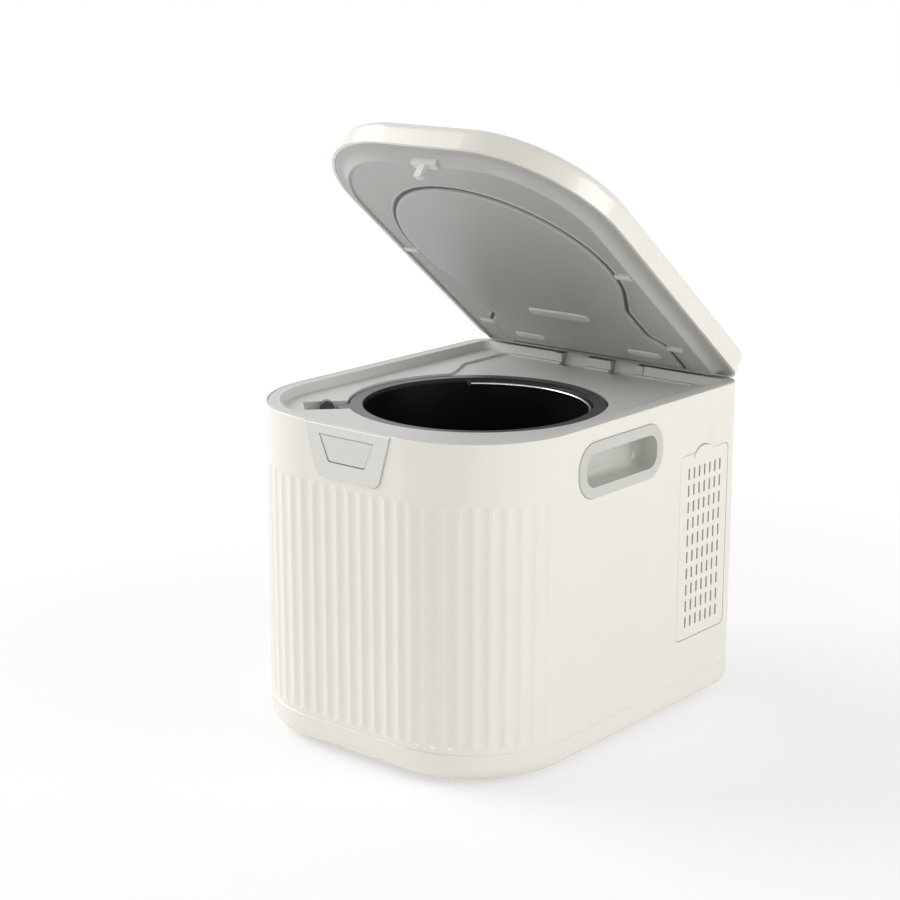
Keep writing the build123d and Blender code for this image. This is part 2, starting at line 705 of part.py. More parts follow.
def bucket():
    """Turned pot with a flange, a locating lug, bail holes and a hole for the bush."""
    outer = disc(0, AXIS_Y, BUCKET_R + BUCKET_WALL, BUCKET_BOTTOM, BUCKET_TOP)
    outer = fillet(outer.edges().group_by(Axis.Z)[0], BUCKET_FLOOR_ROUND + BUCKET_WALL)
    flange = disc(0, AXIS_Y, BUCKET_FLANGE_R, BUCKET_TOP - FLANGE_T, BUCKET_TOP)
    flange = fillet(flange.edges().group_by(Axis.Z)[-1], 0.8)
    reach = BUCKET_FLANGE_R + LUG_L
    lug = block(BUCKET_FLANGE_R - 4, reach, -LUG_W / 2, LUG_W / 2, BUCKET_TOP - FLANGE_T, BUCKET_TOP)
    lug = fillet(lug.edges().filter_by(Axis.Z).sort_by(Axis.X)[-2:], 3.0)
    pot = outer + flange + turned(LUG_DIR, lug)
    inner = disc(0, AXIS_Y, BUCKET_R, BUCKET_BOTTOM + BUCKET_FLOOR_T, BUCKET_TOP + 5)
    pot -= fillet(inner.edges().group_by(Axis.Z)[0], BUCKET_FLOOR_ROUND)
    pot -= disc(0, AXIS_Y, BUSH_R, BUCKET_BOTTOM - 1, BUCKET_BOTTOM + BUCKET_FLOOR_T + 1)
    pot -= turned(BAIL_DIR, rod_x(0, BAIL_Z, BAIL_PIVOT_R + RUN, -BUCKET_R - 6, BUCKET_R + 6))
    return pot


def bail_handle():
    """Half-round wire bail whose ends turn out through the bucket's wall."""
    section = Plane.XZ * Pos(BAIL_R, 0) * Circle(BAIL_WIRE_R)
    wire = revolve(section, axis=Axis.Z, revolution_arc=180)
    for side in (-1, 1):
        x0, x1 = sorted((side * (BAIL_R - BAIL_WIRE_R - 0.4), side * (BUCKET_R + BUCKET_WALL + 1.2)))
        wire += rod_x(0, 0, BAIL_PIVOT_R, x0, x1)
    return Pos(0, AXIS_Y, BAIL_Z) * Rot(0, 0, BAIL_DIR) * wire


def shaft_bush():
    """Flanged plain bearing in the bucket's floor."""
    top = BUCKET_BOTTOM + BUCKET_FLOOR_T
    bush = disc(0, AXIS_Y, BUSH_R, BUCKET_BOTTOM - 3, top)
    bush += disc(0, AXIS_Y, BUSH_R + 3, top, top + 2)
    return bush - disc(0, AXIS_Y, PADDLE_SHAFT_R + RUN, BUCKET_BOTTOM - 5, top + 3)


def mixing_paddle():
    """Upright hub with two swept lower blades and two short upper teeth."""
    z0 = BUCKET_BOTTOM + BUCKET_FLOOR_T + 2.5
    hub = Pos(0, AXIS_Y, z0) * Cone(15, 9, 92, align=(Align.CENTER, Align.CENTER, Align.MIN))
    hub = fillet(hub.edges().group_by(Axis.Z)[-1], 5)
    hub += disc(0, AXIS_Y, PADDLE_SHAFT_R, COUPLING_Z1, z0 + 1)
    for k in range(2):
        blade = block(0, 74, -4, 4, z0 + 0.8, z0 + 20)
        blade = Pos(0, 0, z0) * Rot(22, 0, 0) * Pos(0, 0, -z0) * blade
        blade &= block(0, 76, -20, 20, z0 + 0.8, z0 + 30)
        blade = fillet(blade.edges().filter_by(Axis.X).sort_by(Axis.Z)[-2:], 1.5)
        tooth = block(0, 46, -3.5, 3.5, z0 + 50, z0 + 64)
        hub += turned(180 * k, blade) + turned(90 + 180 * k, tooth)
    return hub


def driven_coupling():
    """Cup with a cross-shaped mouth, fixed under the paddle's shaft."""
    z1 = COUPLING_Z1
    cup = disc(0, AXIS_Y, COUPLING_R, z1 - 13, z1)
    for angle in (0, 90):
        cup -= turned(angle, block(-11.3, 11.3, -3.3, 3.3, z1 - 14, z1 - 3))
    return cup


def driving_coupling():
    """Cross-shaped dog on top of the output shaft."""
    z1 = COUPLING_Z1
    dog = block(-11, 11, -3, 3, z1 - 14, z1 - 3.5)
    dog += block(-3, 3, -11, 11, z1 - 14, z1 - 3.5)
    solid = dog + disc(0, 0, 12, GEARBOX_Z1 + 0.5, z1 - 13.5)
    solid -= disc(0, 0, SHAFT_R, GEARBOX_Z1, z1 - 15)
    return Pos(0, AXIS_Y, 0) * solid


# ---------------------------------------------------------------- heated chamber


def chamber_liner():
    """Aluminium pot that holds the bucket, with a top flange and an air port at the rear."""
    outer = disc(0, AXIS_Y, LINER_R + LINER_T, LINER_Z0, COLLAR_Z - GAP)
    flange = disc(0, AXIS_Y, LINER_R + 9, COLLAR_Z - GAP - 2, COLLAR_Z - GAP)
    pot = outer + flange - disc(0, AXIS_Y, LINER_R, LINER_Z0 + LINER_T, COLLAR_Z + 1)
    pot -= disc(0, AXIS_Y, 24, LINER_Z0 - 1, LINER_Z0 + LINER_T + 1)
    pot -= rod_y(0, PORT_Z, PORT_R, AXIS_Y + 60, AXIS_Y + LINER_R + 20)
    notch = block(90, LINER_R + 14, -POCKET_W / 2 - 3, POCKET_W / 2 + 3, POCKET_Z - 4, COLLAR_Z + 1)
    pot -= turned(LUG_DIR, notch)
    for angle in LINER_SCREWS:
        pot -= turned(angle, disc(LINER_R + 5.5, 0, 1.7, COLLAR_Z - 5, COLLAR_Z + 1))
    return pot


def liner_screws():
    z = COLLAR_Z - GAP - 2
    screws = []
    for angle in LINER_SCREWS:
        head = disc(LINER_R + 5.5, 0, 2.8, z - 1.8, z)
        shank = disc(LINER_R + 5.5, 0, 1.5, z - 0.5, UNDER_Z)
        screws.append(turned(angle, head + shank))
    return Compound(children=screws)


def heater_plate():
    return ring(0, AXIS_Y, HEATER_R, 28, LINER_Z0 + LINER_T, BUCKET_BOTTOM - 0.6)


def thermal_sensor():
    """Clip-on thermostat against the liner's rear wall."""
    y = AXIS_Y + LINER_R + LINER_T
    disc_body = rod_y(-40, 110, 8, y - 9.8, y + 3)
    return disc_body - disc(0, AXIS_Y, LINER_R + LINER_T + GAP, 90, 130)


# ---------------------------------------------------------------- drive train
def involute_gear(teeth, width, bore):
    """Straight spur gear with its first tooth centred on +X."""
    r_pitch = MODULE * teeth / 2
    r_base = r_pitch * math.cos(math.radians(20))
    r_tip = r_pitch + MODULE
    r_root = r_pitch - 1.2 * MODULE
    half_tooth = (math.pi * MODULE / 2 - BACKLASH) / 2 / r_pitch
    inv_pitch = math.tan(math.radians(20)) - math.radians(20)

    def flank(r):
        angle = math.acos(min(r_base / r, 1.0))
        return half_tooth + inv_pitch - (math.tan(angle) - angle)

    start = max(r_base, r_root)
    radii = [start + (r_tip - start) * k / 4 for k in range(5)]
    points = []
    for k in range(teeth):
        mid = 2 * math.pi * k / teeth
        lower = [(r, mid - flank(r)) for r in radii]
        upper = [(r, mid + flank(r)) for r in reversed(radii)]
        foot = flank(start)
        tooth = [(r_root, mid - foot)] + lower + upper + [(r_root, mid + foot)]
        if r_root >= r_base:
            tooth = lower + upper
        points += [(r * math.cos(a), r * math.sin(a)) for r, a in tooth]
    gear = extrude(make_face(Polyline(*points, close=True)), amount=width)
    return gear - Cylinder(bore, width * 3)


def mesh_angle(line, own_teeth, other_teeth, other_angle):
    """Angle of a gear that meshes with its neighbour along a line of centres, in degrees."""
    return line + 180 + 180 / own_teeth - (other_angle - line) * other_teeth / own_teeth


def on_train(reach):
    return reach * TRAIN_DX, AXIS_Y + reach * TRAIN_DY


ANGLE_OUT = TRAIN_LINE
ANGLE_2 = mesh_angle(TRAIN_LINE, SMALL2_T, OUTPUT_T, ANGLE_OUT)
ANGLE_1 = mesh_angle(TRAIN_LINE, SMALL1_T, WHEEL2_T, ANGLE_2)
ANGLE_M = mesh_angle(TRAIN_LINE, PINION_T, WHEEL1_T, ANGLE_1)


def output_gear():
    gear = involute_gear(OUTPUT_T, GEAR_W, SHAFT_R)
    hub = ring(0, 0, 12, SHAFT_R, GEAR_W, GEAR_W + 4)
    for k in range(6):
        angle = 30 + 60 * k
        gear -= Rot(0, 0, angle) * Pos(33, 0, 0) * Cylinder(11, GEAR_W * 3)
    return Pos(0, AXIS_Y, LAYER1_Z) * Rot(0, 0, ANGLE_OUT) * (gear + hub)


def output_shaft():
    z0 = GEARBOX_Z0 + GEARBOX_WALL + 0.3
    return disc(0, AXIS_Y, SHAFT_R, z0, COUPLING_Z1 - 15)


def compound_gear(reach, wheel_teeth, small_teeth, angle, wheel_z, small_z):
    x, y = on_train(reach)
    wheel = Pos(0, 0, wheel_z) * involute_gear(wheel_teeth, GEAR_W, AXLE_R + RUN)
    small = involute_gear(small_teeth, GEAR_W, AXLE_R + RUN)
    low, high = sorted((wheel_z, small_z))
    sleeve = ring(0, 0, small_teeth * MODULE / 2 - 2.2, AXLE_R + RUN, low + GEAR_W - 0.5, high + 0.5)
    return Pos(x, y, 0) * Rot(0, 0, angle) * (wheel + Pos(0, 0, small_z) * small + sleeve)


def motor_pinion():
    x, y = on_train(REACH_M)
    return Pos(x, y, LAYER1_Z) * Rot(0, 0, ANGLE_M) * involute_gear(PINION_T, GEAR_W, 2.5)


def motor_shaft():
    return disc(*on_train(REACH_M), 2.5, LAYER1_Z - 1, GEARBOX_Z1 + MOTOR_H - 12)


def drive_motor():
    x, y = on_train(REACH_M)
    can = disc(x, y, MOTOR_R, GEARBOX_Z1, GEARBOX_Z1 + MOTOR_H)
    can = fillet(can.edges().group_by(Axis.Z)[-1], 3)
    cap = disc(x, y, 8, GEARBOX_Z1 + MOTOR_H - 1, GEARBOX_Z1 + MOTOR_H + 3)
    return can + cap - disc(x, y, 2.5 + RUN, GEARBOX_Z1 - 1, GEARBOX_Z1 + MOTOR_H - 11)


def gearbox_face(grow):
    x1, y1 = on_train(REACH_1)
    xm, ym = on_train(REACH_M)
    rings = [
        Pos(0, AXIS_Y, 0) * Circle(MODULE * OUTPUT_T / 2 + 4.5 + grow),
        Pos(x1, y1, 0) * Circle(MODULE * WHEEL1_T / 2 + 4.5 + grow),
        Pos(xm, ym, 0) * Circle(MOTOR_R - 2 + grow),
    ]
    edges = []
    for one in rings:
        edges += one.edges()
    return make_hull(edges)


def gearbox_case():
    """Lower half of the gearbox, with blind seats for the axles and the output shaft."""
    top = GEARBOX_Z1 - GEARBOX_WALL
    case = prism(gearbox_face(GEARBOX_WALL), GEARBOX_Z0, top)
    case -= prism(gearbox_face(0), GEARBOX_Z0 + GEARBOX_WALL, top + 1)
    for reach in (REACH_1, REACH_2):
        x, y = on_train(reach)
        case += disc(x, y, 6, GEARBOX_Z0 + 1, LAYER1_Z - GAP)
        case -= disc(x, y, AXLE_R, GEARBOX_Z0 + 1, LAYER1_Z + 1)
    case += disc(0, AXIS_Y, 11, GEARBOX_Z0 + 1, LAYER1_Z - GAP)
    return case - disc(0, AXIS_Y, SHAFT_R + RUN, GEARBOX_Z0 + GEARBOX_WALL, LAYER1_Z + 1)


def gearbox_cover():
    top = GEARBOX_Z1 - GEARBOX_WALL
    cover = prism(gearbox_face(GEARBOX_WALL), top, GEARBOX_Z1)
    cover -= disc(0, AXIS_Y, SHAFT_R + RUN, top - 1, GEARBOX_Z1 + 1)
    x, y = on_train(REACH_M)
    cover -= disc(x, y, 6, top - 1, GEARBOX_Z1 + 1)
    for reach in (REACH_1, REACH_2):
        x, y = on_train(reach)
        cover -= disc(x, y, AXLE_R, top - 1, GEARBOX_Z1 - 1)
    return cover


def gear_axles():
    axles = []
    for reach in (REACH_1, REACH_2):
        x, y = on_train(reach)
        axles.append(disc(x, y, AXLE_R, GEARBOX_Z0 + 1, GEARBOX_Z1 - 1))
    return Compound(children=axles)


def chassis_plate():
    """Steel plate on the tray's posts that carries the gearbox."""
    plate = prism(body_outline(9), CHASSIS_Z0, CHASSIS_Z0 + CHASSIS_T)
    for x, y in SCREW_XY:
        plate -= disc(x, y, SCREW_R, CHASSIS_Z0 - 1, CHASSIS_Z0 + CHASSIS_T + 1)
    for x in (-100, 100):
        plate -= Pos(x, 20, CHASSIS_Z0) * Box(30, 90, 10)
    return plate


# ---------------------------------------------------------------- lid, modelled closed


def lid_shell():
    """Pale outer shell with a rounded top edge and a bed for the touch panel."""
    top = LID_RIM_Z + LID_H
    outer = prism(lid_outline(0), LID_RIM_Z, top)
    outer = fillet(outer.edges().group_by(Axis.Z)[-1], LID_ROUND)
    inner = prism(lid_outline(LID_WALL), LID_RIM_Z - 5, top - LID_WALL)
    inner = fillet(inner.edges().group_by(Axis.Z)[-1], LID_ROUND - LID_WALL)
    shell = outer - inner
    bed = Pos(0, TOUCH_Y, top - TOUCH_T) * RectangleRounded(TOUCH_W, TOUCH_D, 6)
    return shell - extrude(bed, amount=5)


def lid_cover_outline(grow):
    """Round front that narrows to a neck and flares again towards the hinge."""
    radius = COVER_R + grow
    a = math.radians(COVER_JOIN)
    x0, y0 = radius * math.cos(a), COVER_Y + radius * math.sin(a)
    neck = NECK_HALF + grow
    flare = FLARE_HALF + grow
    y1 = y0 + (x0 - neck) / math.tan(a)
    rear = COVER_REAR + grow
    right = [(x0, y0), (neck, y1), (neck, FLARE_Y - grow), (flare, FLARE_Y + FLARE_RUN - grow), (flare, rear)]
    left = [(-x, y) for x, y in reversed(right)]
    path = Polyline(*right, *left)
    front = ThreePointArc((-x0, y0), (0, COVER_Y - radius), (x0, y0))
    face = make_face([*path.edges(), front])
    corners = [v for v in face.vertices() if v.Y > 80]
    return fillet(corners, 6.0)


def lid_inner_panel():
    """Grey underside: a sloped skirt, a bead and a flat plateau, open for the hook and the arms."""
    low = Pos(0, 0, PLATEAU_Z) * lid_outline(SKIRT_INSET)
    high = Pos(0, 0, LID_RIM_Z) * lid_outline(RIM_LAND)
    solid = loft([low, high]) + prism(lid_outline(LID_WALL + 0.2), LID_RIM_Z, LID_RIM_Z + PANEL_T)
    bead = prism(lid_outline(BEAD_INSET - BEAD_W / 2), PLATEAU_Z - BEAD_H, PLATEAU_Z + 1)
    bead -= prism(lid_outline(BEAD_INSET + BEAD_W / 2), PLATEAU_Z - BEAD_H - 1, PLATEAU_Z + 2)
    solid += chamfer(bead.edges().group_by(Axis.Z)[0], BEAD_W * 0.25)
    solid -= prism(lid_outline(BEAD_INSET + 3), PLATEAU_Z + PANEL_T, LID_RIM_Z + PANEL_T + 1)
    solid -= block(-12.2, 12.2, HOOK_Y + 0.8, HOOK_Y + 8.2, PLATEAU_Z - 5, LID_RIM_Z + 5)
    for side in (-1, 1):
        x = side * ARM_X
        half = ARM_W / 2 + GAP
        solid -= block(x - half, x + half, LID_REAR - ARM_ROOM, LID_REAR, PLATEAU_Z - 5, LID_RIM_Z + 5)
    return solid


def lid_inner_cover():
    """Plate over the bucket's mouth, with three raised bars."""
    plate = prism(lid_cover_outline(0), COVER_Z, PLATEAU_Z)
    for x, y, length, width in BARS:
        face = Pos(x, y, COVER_Z - BAR_H) * RectangleRounded(length, width, width * 0.45)
        bar = extrude(face, amount=BAR_H + 0.5)
        bar = chamfer(bar.edges().group_by(Axis.Z)[0], 0.9)
        plate += bar
    return plate


def lid_gasket():
    """Soft bead round the edge of the inner cover."""
    solid = prism(lid_cover_outline(0), COVER_Z - SEAL_H, COVER_Z)
    solid -= prism(lid_cover_outline(-SEAL_W), COVER_Z - SEAL_H - 1, COVER_Z + 1)
    return chamfer(solid.edges().group_by(Axis.Z)[0], min(SEAL_W * 0.25, SEAL_H * 0.5))


def cover_clips():
    """Four snap strips that hold the inner cover's edge to the panel."""
    clips = []
    for side, y, x in CLIPS:
        x0, x1 = sorted((side * (x + GAP), side * (x + CLIP_L)))
        strip = block(x0, x1, y - 2.4, y + 2.4, PLATEAU_Z - 2.2, PLATEAU_Z)
        clips.append(chamfer(strip.edges().group_by(Axis.Z)[0], 0.6))
    return Compound(children=clips)


def lid_hook():
    """Hook that drops through the deck and is caught by the sliding latch."""
    y0 = HOOK_Y + 1
    base_z = PLATEAU_Z - HOOK_PROUD
    base = block(-12, 12, y0, y0 + 7, base_z, LID_RIM_Z + PANEL_T + 1)
    foot = block(-18, 18, y0 - 2, y0 + 14, LID_RIM_Z + PANEL_T, LID_RIM_Z + PANEL_T + 3)
    prong = block(-3, 3, y0, y0 + 4, SLIDER_Z - 3.2, base_z + 1)
    nose = block(-3, 3, y0 + 3, y0 + 6.5, SLIDER_Z - 3.2, SLIDER_Z - 0.4)
    nose = chamfer(nose.edges().filter_by(Axis.X).group_by(Axis.Z)[0].sort_by(Axis.Y)[-1], 1.6)
    return base + foot + prong + nose


def touch_panel():
    """Gloss control strip, flush in the lid's top, with holes for the lamps."""
    top = LID_RIM_Z + LID_H
    face = Pos(0, TOUCH_Y, top - TOUCH_T) * RectangleRounded(TOUCH_W - 0.4, TOUCH_D - 0.4, 5.8)
    panel = extrude(face, amount=TOUCH_T)
    for x in LAMP_X:
        panel -= disc(x, TOUCH_Y, LAMP_R, top - TOUCH_T - 1, top + 1)
    return panel


def indicator_lenses():
    top = LID_RIM_Z + LID_H
    return Compound(children=[disc(x, TOUCH_Y, LAMP_R - 0.05, top - TOUCH_T, top) for x in LAMP_X])


def lid_board():
    """Control board under the touch panel, on two posts."""
    top = LID_RIM_Z + LID_H - LID_WALL
    board = block(-44, 44, TOUCH_Y - 11, TOUCH_Y + 11, top - 5.6, top - 4)
    for x in (-38, 38):
        board += disc(x, TOUCH_Y, 2.5, top - 4.5, top)
    for x in (-24, -4, 16):
        board += block(x, x + 9, TOUCH_Y - 4, TOUCH_Y + 5, top - 7.4, top - 5.5)
    return board


def lid_magnet():
    """Magnet that tells the lid switch the lid is down."""
    z = PLATEAU_Z + PANEL_T
    return turned(LUG_DIR, disc(SENSE_R, -POCKET_W / 2 + 4.7, 4, z, z + 4))


# ---------------------------------------------------------------- filter drawer and air path


def filter_cover():
    """Slotted outer cover of the filter drawer, with an arched tab on top."""
    half = BODY_W / 2
    cover = bay_window(-COVER_PLAY, half - FILTER_COVER_T, half)
    cover = chamfer(cover.faces().sort_by(Axis.X)[-1].edges(), 0.4)
    tab = tab_shape(-COVER_PLAY, half - FILTER_COVER_T, half + TAB_PROUD)
    cover += chamfer(tab.faces().sort_by(Axis.X)[-1].edges(), 0.3)
    for row in range(GRILLE_ROWS):
        z = GRILLE_Z0 + row * GRILLE_DZ
        for col in range(GRILLE_COLS):
            y = GRILLE_Y0 + col * GRILLE_DY
            w, h = GRILLE_W / 2, GRILLE_H / 2
            cover -= side_prism(y - w, y + w, z - h, z + h, w * 0.98, half - 6, half + 2)
    return cover


def filter_frame():
    """Box behind the casing that guides the filter, open to the side and to the fan."""
    y0, y1 = BAY_Y0 + 1.6, BAY_Y1 - 1.6
    z0, z1 = BAY_Z0 + 1.8, BAY_Z1 - 1.8
    x0 = CART_X0 - 4
    box = block(x0, FRAME_X, y0, y1, z0, z1)
    box -= block(x0 + FRAME_T, FRAME_X + 1, y0 + FRAME_T, y1 - FRAME_T, z0 + FRAME_T, z1 - FRAME_T)
    flange = block(FRAME_X - 2.2, FRAME_X, BAY_Y0 - 4, BAY_Y1 + 3, BAY_Z0 - 4, BAY_Z1 - 9)
    flange -= block(FRAME_X - 5, FRAME_X + 1, y0 + 1, y1 - 1, z0 + 1, z1 + 5)
    box += flange
    return box - block(x0 - 1, x0 + FRAME_T + 1, FAN_Y0 + 2, y1 - FRAME_T - 1, DUCT_Z0, DUCT_Z1)


def carbon_cartridge():
    """Slotted plastic tray of the carbon filter."""
    y0, y1 = BAY_Y0 + 4.4, BAY_Y1 - 4.4
    z0, z1 = BAY_Z0 + 4.4, BAY_Z1 - 4.4
    tray = block(CART_X0, BODY_W / 2 - FILTER_COVER_T, y0, y1, z0, z1)
    tray -= block(CART_X0 + 2, BODY_W / 2 - FILTER_COVER_T - 5, y0 + 2, y1 - 2, z0 + 2, z1 - 2)
    for k in range(8):
        z = z0 + 10 + 16.0 * k
        tray -= block(CART_X0 - 1, CART_X0 + 3, y0 + 6, y1 - 6, z, z + 9)
        tray -= block(BODY_W / 2 - 9, BODY_W / 2, y0 + 6, y1 - 6, z, z + 9)
    return tray


def carbon_filter():
    """Block of granular carbon inside the tray."""
    y0, y1 = BAY_Y0 + 6.7, BAY_Y1 - 6.7
    z0, z1 = BAY_Z0 + 6.7, BAY_Z1 - 6.7
    return block(CART_X0 + 2.3, BODY_W / 2 - FILTER_COVER_T - 5.3, y0, y1, z0, z1)


def fan_housing():
    """Scroll casing of the blower with a round inlet and a side outlet to the filter."""
    case = rod_y(FAN_X, FAN_Z, FAN_R + 2, FAN_Y0, FAN_Y1)
    case += block(FAN_X, CART_X0 - 4 - GAP, FAN_Y0, FAN_Y1, DUCT_Z0 - 2, DUCT_Z1 + 2)
    case -= rod_y(FAN_X, FAN_Z, FAN_R, FAN_Y0 + 2, FAN_Y1 - 2)
    case -= block(FAN_X, CART_X0, FAN_Y0 + 2, FAN_Y1 - 2, DUCT_Z0, DUCT_Z1)
    case -= rod_y(FAN_X, FAN_Z, 17, FAN_Y0 - 1, FAN_Y0 + 3)
    return case - rod_y(FAN_X, FAN_Z, 3, FAN_Y1 - 3, FAN_Y1 + 1)


def fan_motor():
    can = rod_y(FAN_X, FAN_Z, 13, FAN_Y1, FAN_Y1 + 13)
    return can - rod_y(FAN_X, FAN_Z, 1.5 + RUN, FAN_Y1 - 3, FAN_Y1 + 9)


def fan_impeller():
    """Squirrel-cage wheel with curved blades between a back plate and a front ring."""
    y0, y1 = FAN_Y0 + 4, FAN_Y1 - 3.5
    radius = FAN_R - 5
    wheel = Cylinder(radius, 1.6, align=(Align.CENTER, Align.CENTER, Align.MIN))
    height = y1 - y0
    hoop = Cylinder(radius, 1.6, align=(Align.CENTER, Align.CENTER, Align.MIN))
    hoop -= Cylinder(radius - 5, 6)
    wheel += Pos(0, 0, height - 1.6) * hoop
    for k in range(18):
        blade = Pos(radius - 3.4, 0, 0) * Rot(0, 0, 35) * Pos(0, 0, height / 2) * Box(5.5, 1.1, height)
        wheel += Rot(0, 0, 20 * k) * blade
    wheel += Cylinder(6, 12, align=(Align.CENTER, Align.CENTER, Align.MIN))
    wheel += Pos(0, 0, -11) * Cylinder(1.5, 22, align=(Align.CENTER, Align.CENTER, Align.MIN))
    return Pos(FAN_X, y1, FAN_Z) * Rot(90, 0, 0) * wheel


def air_duct():
    """Flat duct from the chamber's port down to the blower's inlet."""
    y1 = FAN_Y0 - GAP
    y0 = AXIS_Y + LINER_R + LINER_T - 3
    half = 21.0
    z0 = FAN_Z - 21
    z1 = PORT_Z + 19
    duct = block(-half, half, y0, y1, z0, z1)
    duct -= disc(0, AXIS_Y, LINER_R + LINER_T + GAP, z0 - 1, z1 + 1)
    inner = block(-half + 2, half - 2, y0, y1 - 2, z0 + 2, z1 - 2)
    inner -= disc(0, AXIS_Y, LINER_R + LINER_T + GAP + 2, z0 - 1, z1 + 1)
    duct -= inner
    duct -= rod_y(0, PORT_Z, PORT_R, y0 - 20, y1 - 4)
    return duct - rod_y(FAN_X, FAN_Z, 17, y1 - 4, y1 + 1)


# ---------------------------------------------------------------- electrics
def power_board():
    """Power supply board on posts from the rear panel."""
    y = BODY_D / 2 - REAR_T
    board = block(4, 72, y - 13.6, y - 12, 42, 112)
    for x in (9, 67):
        for z in (47, 107):
            board += rod_y(x, z, 2.5, y - 12.5, y)
    board += rod_y(24, 62, 8, y - 38, y - 13)
    board += block(40, 66, y - 34, y - 13, 52, 80)
    board += block(12, 36, y - 24, y - 13, 84, 104)
    return board


def control_board():
    """Logic board on posts from the rear panel, above the motor."""
    y = BODY_D / 2 - REAR_T
    board = block(-90, -46, y - 11.6, y - 10, 146, 200)
    for x, z in ((-84, 151), (-84, 195), (-51, 190)):
        board += rod_y(x, z, 2.2, y - 10.5, y)
    board += block(-80, -66, y - 14, y - 11, 160, 174)
    board += block(-62, -52, y - 18, y - 11, 180, 190)
    return board


# ---------------------------------------------------------------- assembly
def build():
    add("outer_casing", outer_casing())
    add("base_tray", base_tray())
    add("rubber_feet", rubber_feet())
    add("base_screws", base_screws())
    add("chassis_plate", chassis_plate())
    add("rear_cover", rear_cover())
    add("mains_inlet", mains_inlet())
    add("handle_cup_right", handle_cup(1))
    add("handle_cup_left", handle_cup(-1))
    add("top_deck", top_deck())
    add("hinge_bracket", hinge_bracket())
    add("hinge_pin", hinge_pin())
    add("latch_bezel", latch_bezel())
    add("release_button", release_button())
    add("latch_slider", latch_slider())
    add("latch_housing", latch_housing())
    add("button_spring", button_spring())
    add("lid_sensor_housing", lid_sensor_housing())
    add("bucket", bucket())
    add("bail_handle", bail_handle())
    add("shaft_bush", shaft_bush())
    add("mixing_paddle", mixing_paddle())
    add("driven_coupling", driven_coupling())
    add("driving_coupling", driving_coupling())
    add("chamber_liner", chamber_liner())
    add("liner_screws", liner_screws())
    add("heater_plate", heater_plate())
    add("thermal_sensor", thermal_sensor())
    add("output_gear", output_gear())
    add("output_shaft", output_shaft())
    add("second_gear", compound_gear(REACH_2, WHEEL2_T, SMALL2_T, ANGLE_2, LAYER2_Z, LAYER1_Z))
    add("first_gear", compound_gear(REACH_1, WHEEL1_T, SMALL1_T, ANGLE_1, LAYER1_Z, LAYER2_Z))
    add("motor_pinion", motor_pinion())
    add("motor_shaft", motor_shaft())
    add("drive_motor", drive_motor())
    add("gearbox_case", gearbox_case())
    add("gearbox_cover", gearbox_cover())
    add("gear_axles", gear_axles())
    add("filter_frame", filter_frame())
    add("filter_cover", filter_cover())
    add("carbon_cartridge", carbon_cartridge())
    add("carbon_filter", carbon_filter())
    add("fan_housing", fan_housing())
    add("fan_motor", fan_motor())
    add("fan_impeller", fan_impeller())
    add("air_duct", air_duct())
    add("power_board", power_board())
    add("control_board", control_board())
    add("hinge_arms", hinge_arms())
    add("lid_shell", open_lid(lid_shell()))
    add("lid_inner_panel", open_lid(lid_inner_panel()))
    add("lid_inner_cover", open_lid(lid_inner_cover()))
    add("lid_gasket", open_lid(lid_gasket()))
    add("cover_clips", open_lid(cover_clips()))
    add("lid_hook", open_lid(lid_hook()))
    add("touch_panel", open_lid(touch_panel()))
    add("indicator_lenses", open_lid(indicator_lenses()))
    add("lid_board", open_lid(lid_board()))
    add("lid_magnet", open_lid(lid_magnet()))


def main():
    build()
    boxes = [shape.bounding_box() for shape in parts.values()]
    front = min(box.min.Y for box in boxes)
    rear = max(box.max.Y for box in boxes)
    shift = -(front + rear) / 2
    os.makedirs("parts", exist_ok=True)
    for name, shape in parts.items():
        export_step(Pos(0, shift, -FLOOR_Z) * shape, f"parts/{name}.step")
    print("parts", len(parts), "moved in Y by", round(shift, 4), "depth", round(rear - front, 3))


main()
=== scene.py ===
# %% [markdown]
# # A countertop food waste composter
# The machine is a cream plastic box with a fluted round front. Its grey lid stands open over a
# sunk grey deck, a dark bucket hangs in the deck's opening, and a filter drawer sits in the right
# side. The CAD frame already holds every piece at its real size and place, so this script adds
# what the frame lacks: finishes, and the soft moulded forms that light runs over.

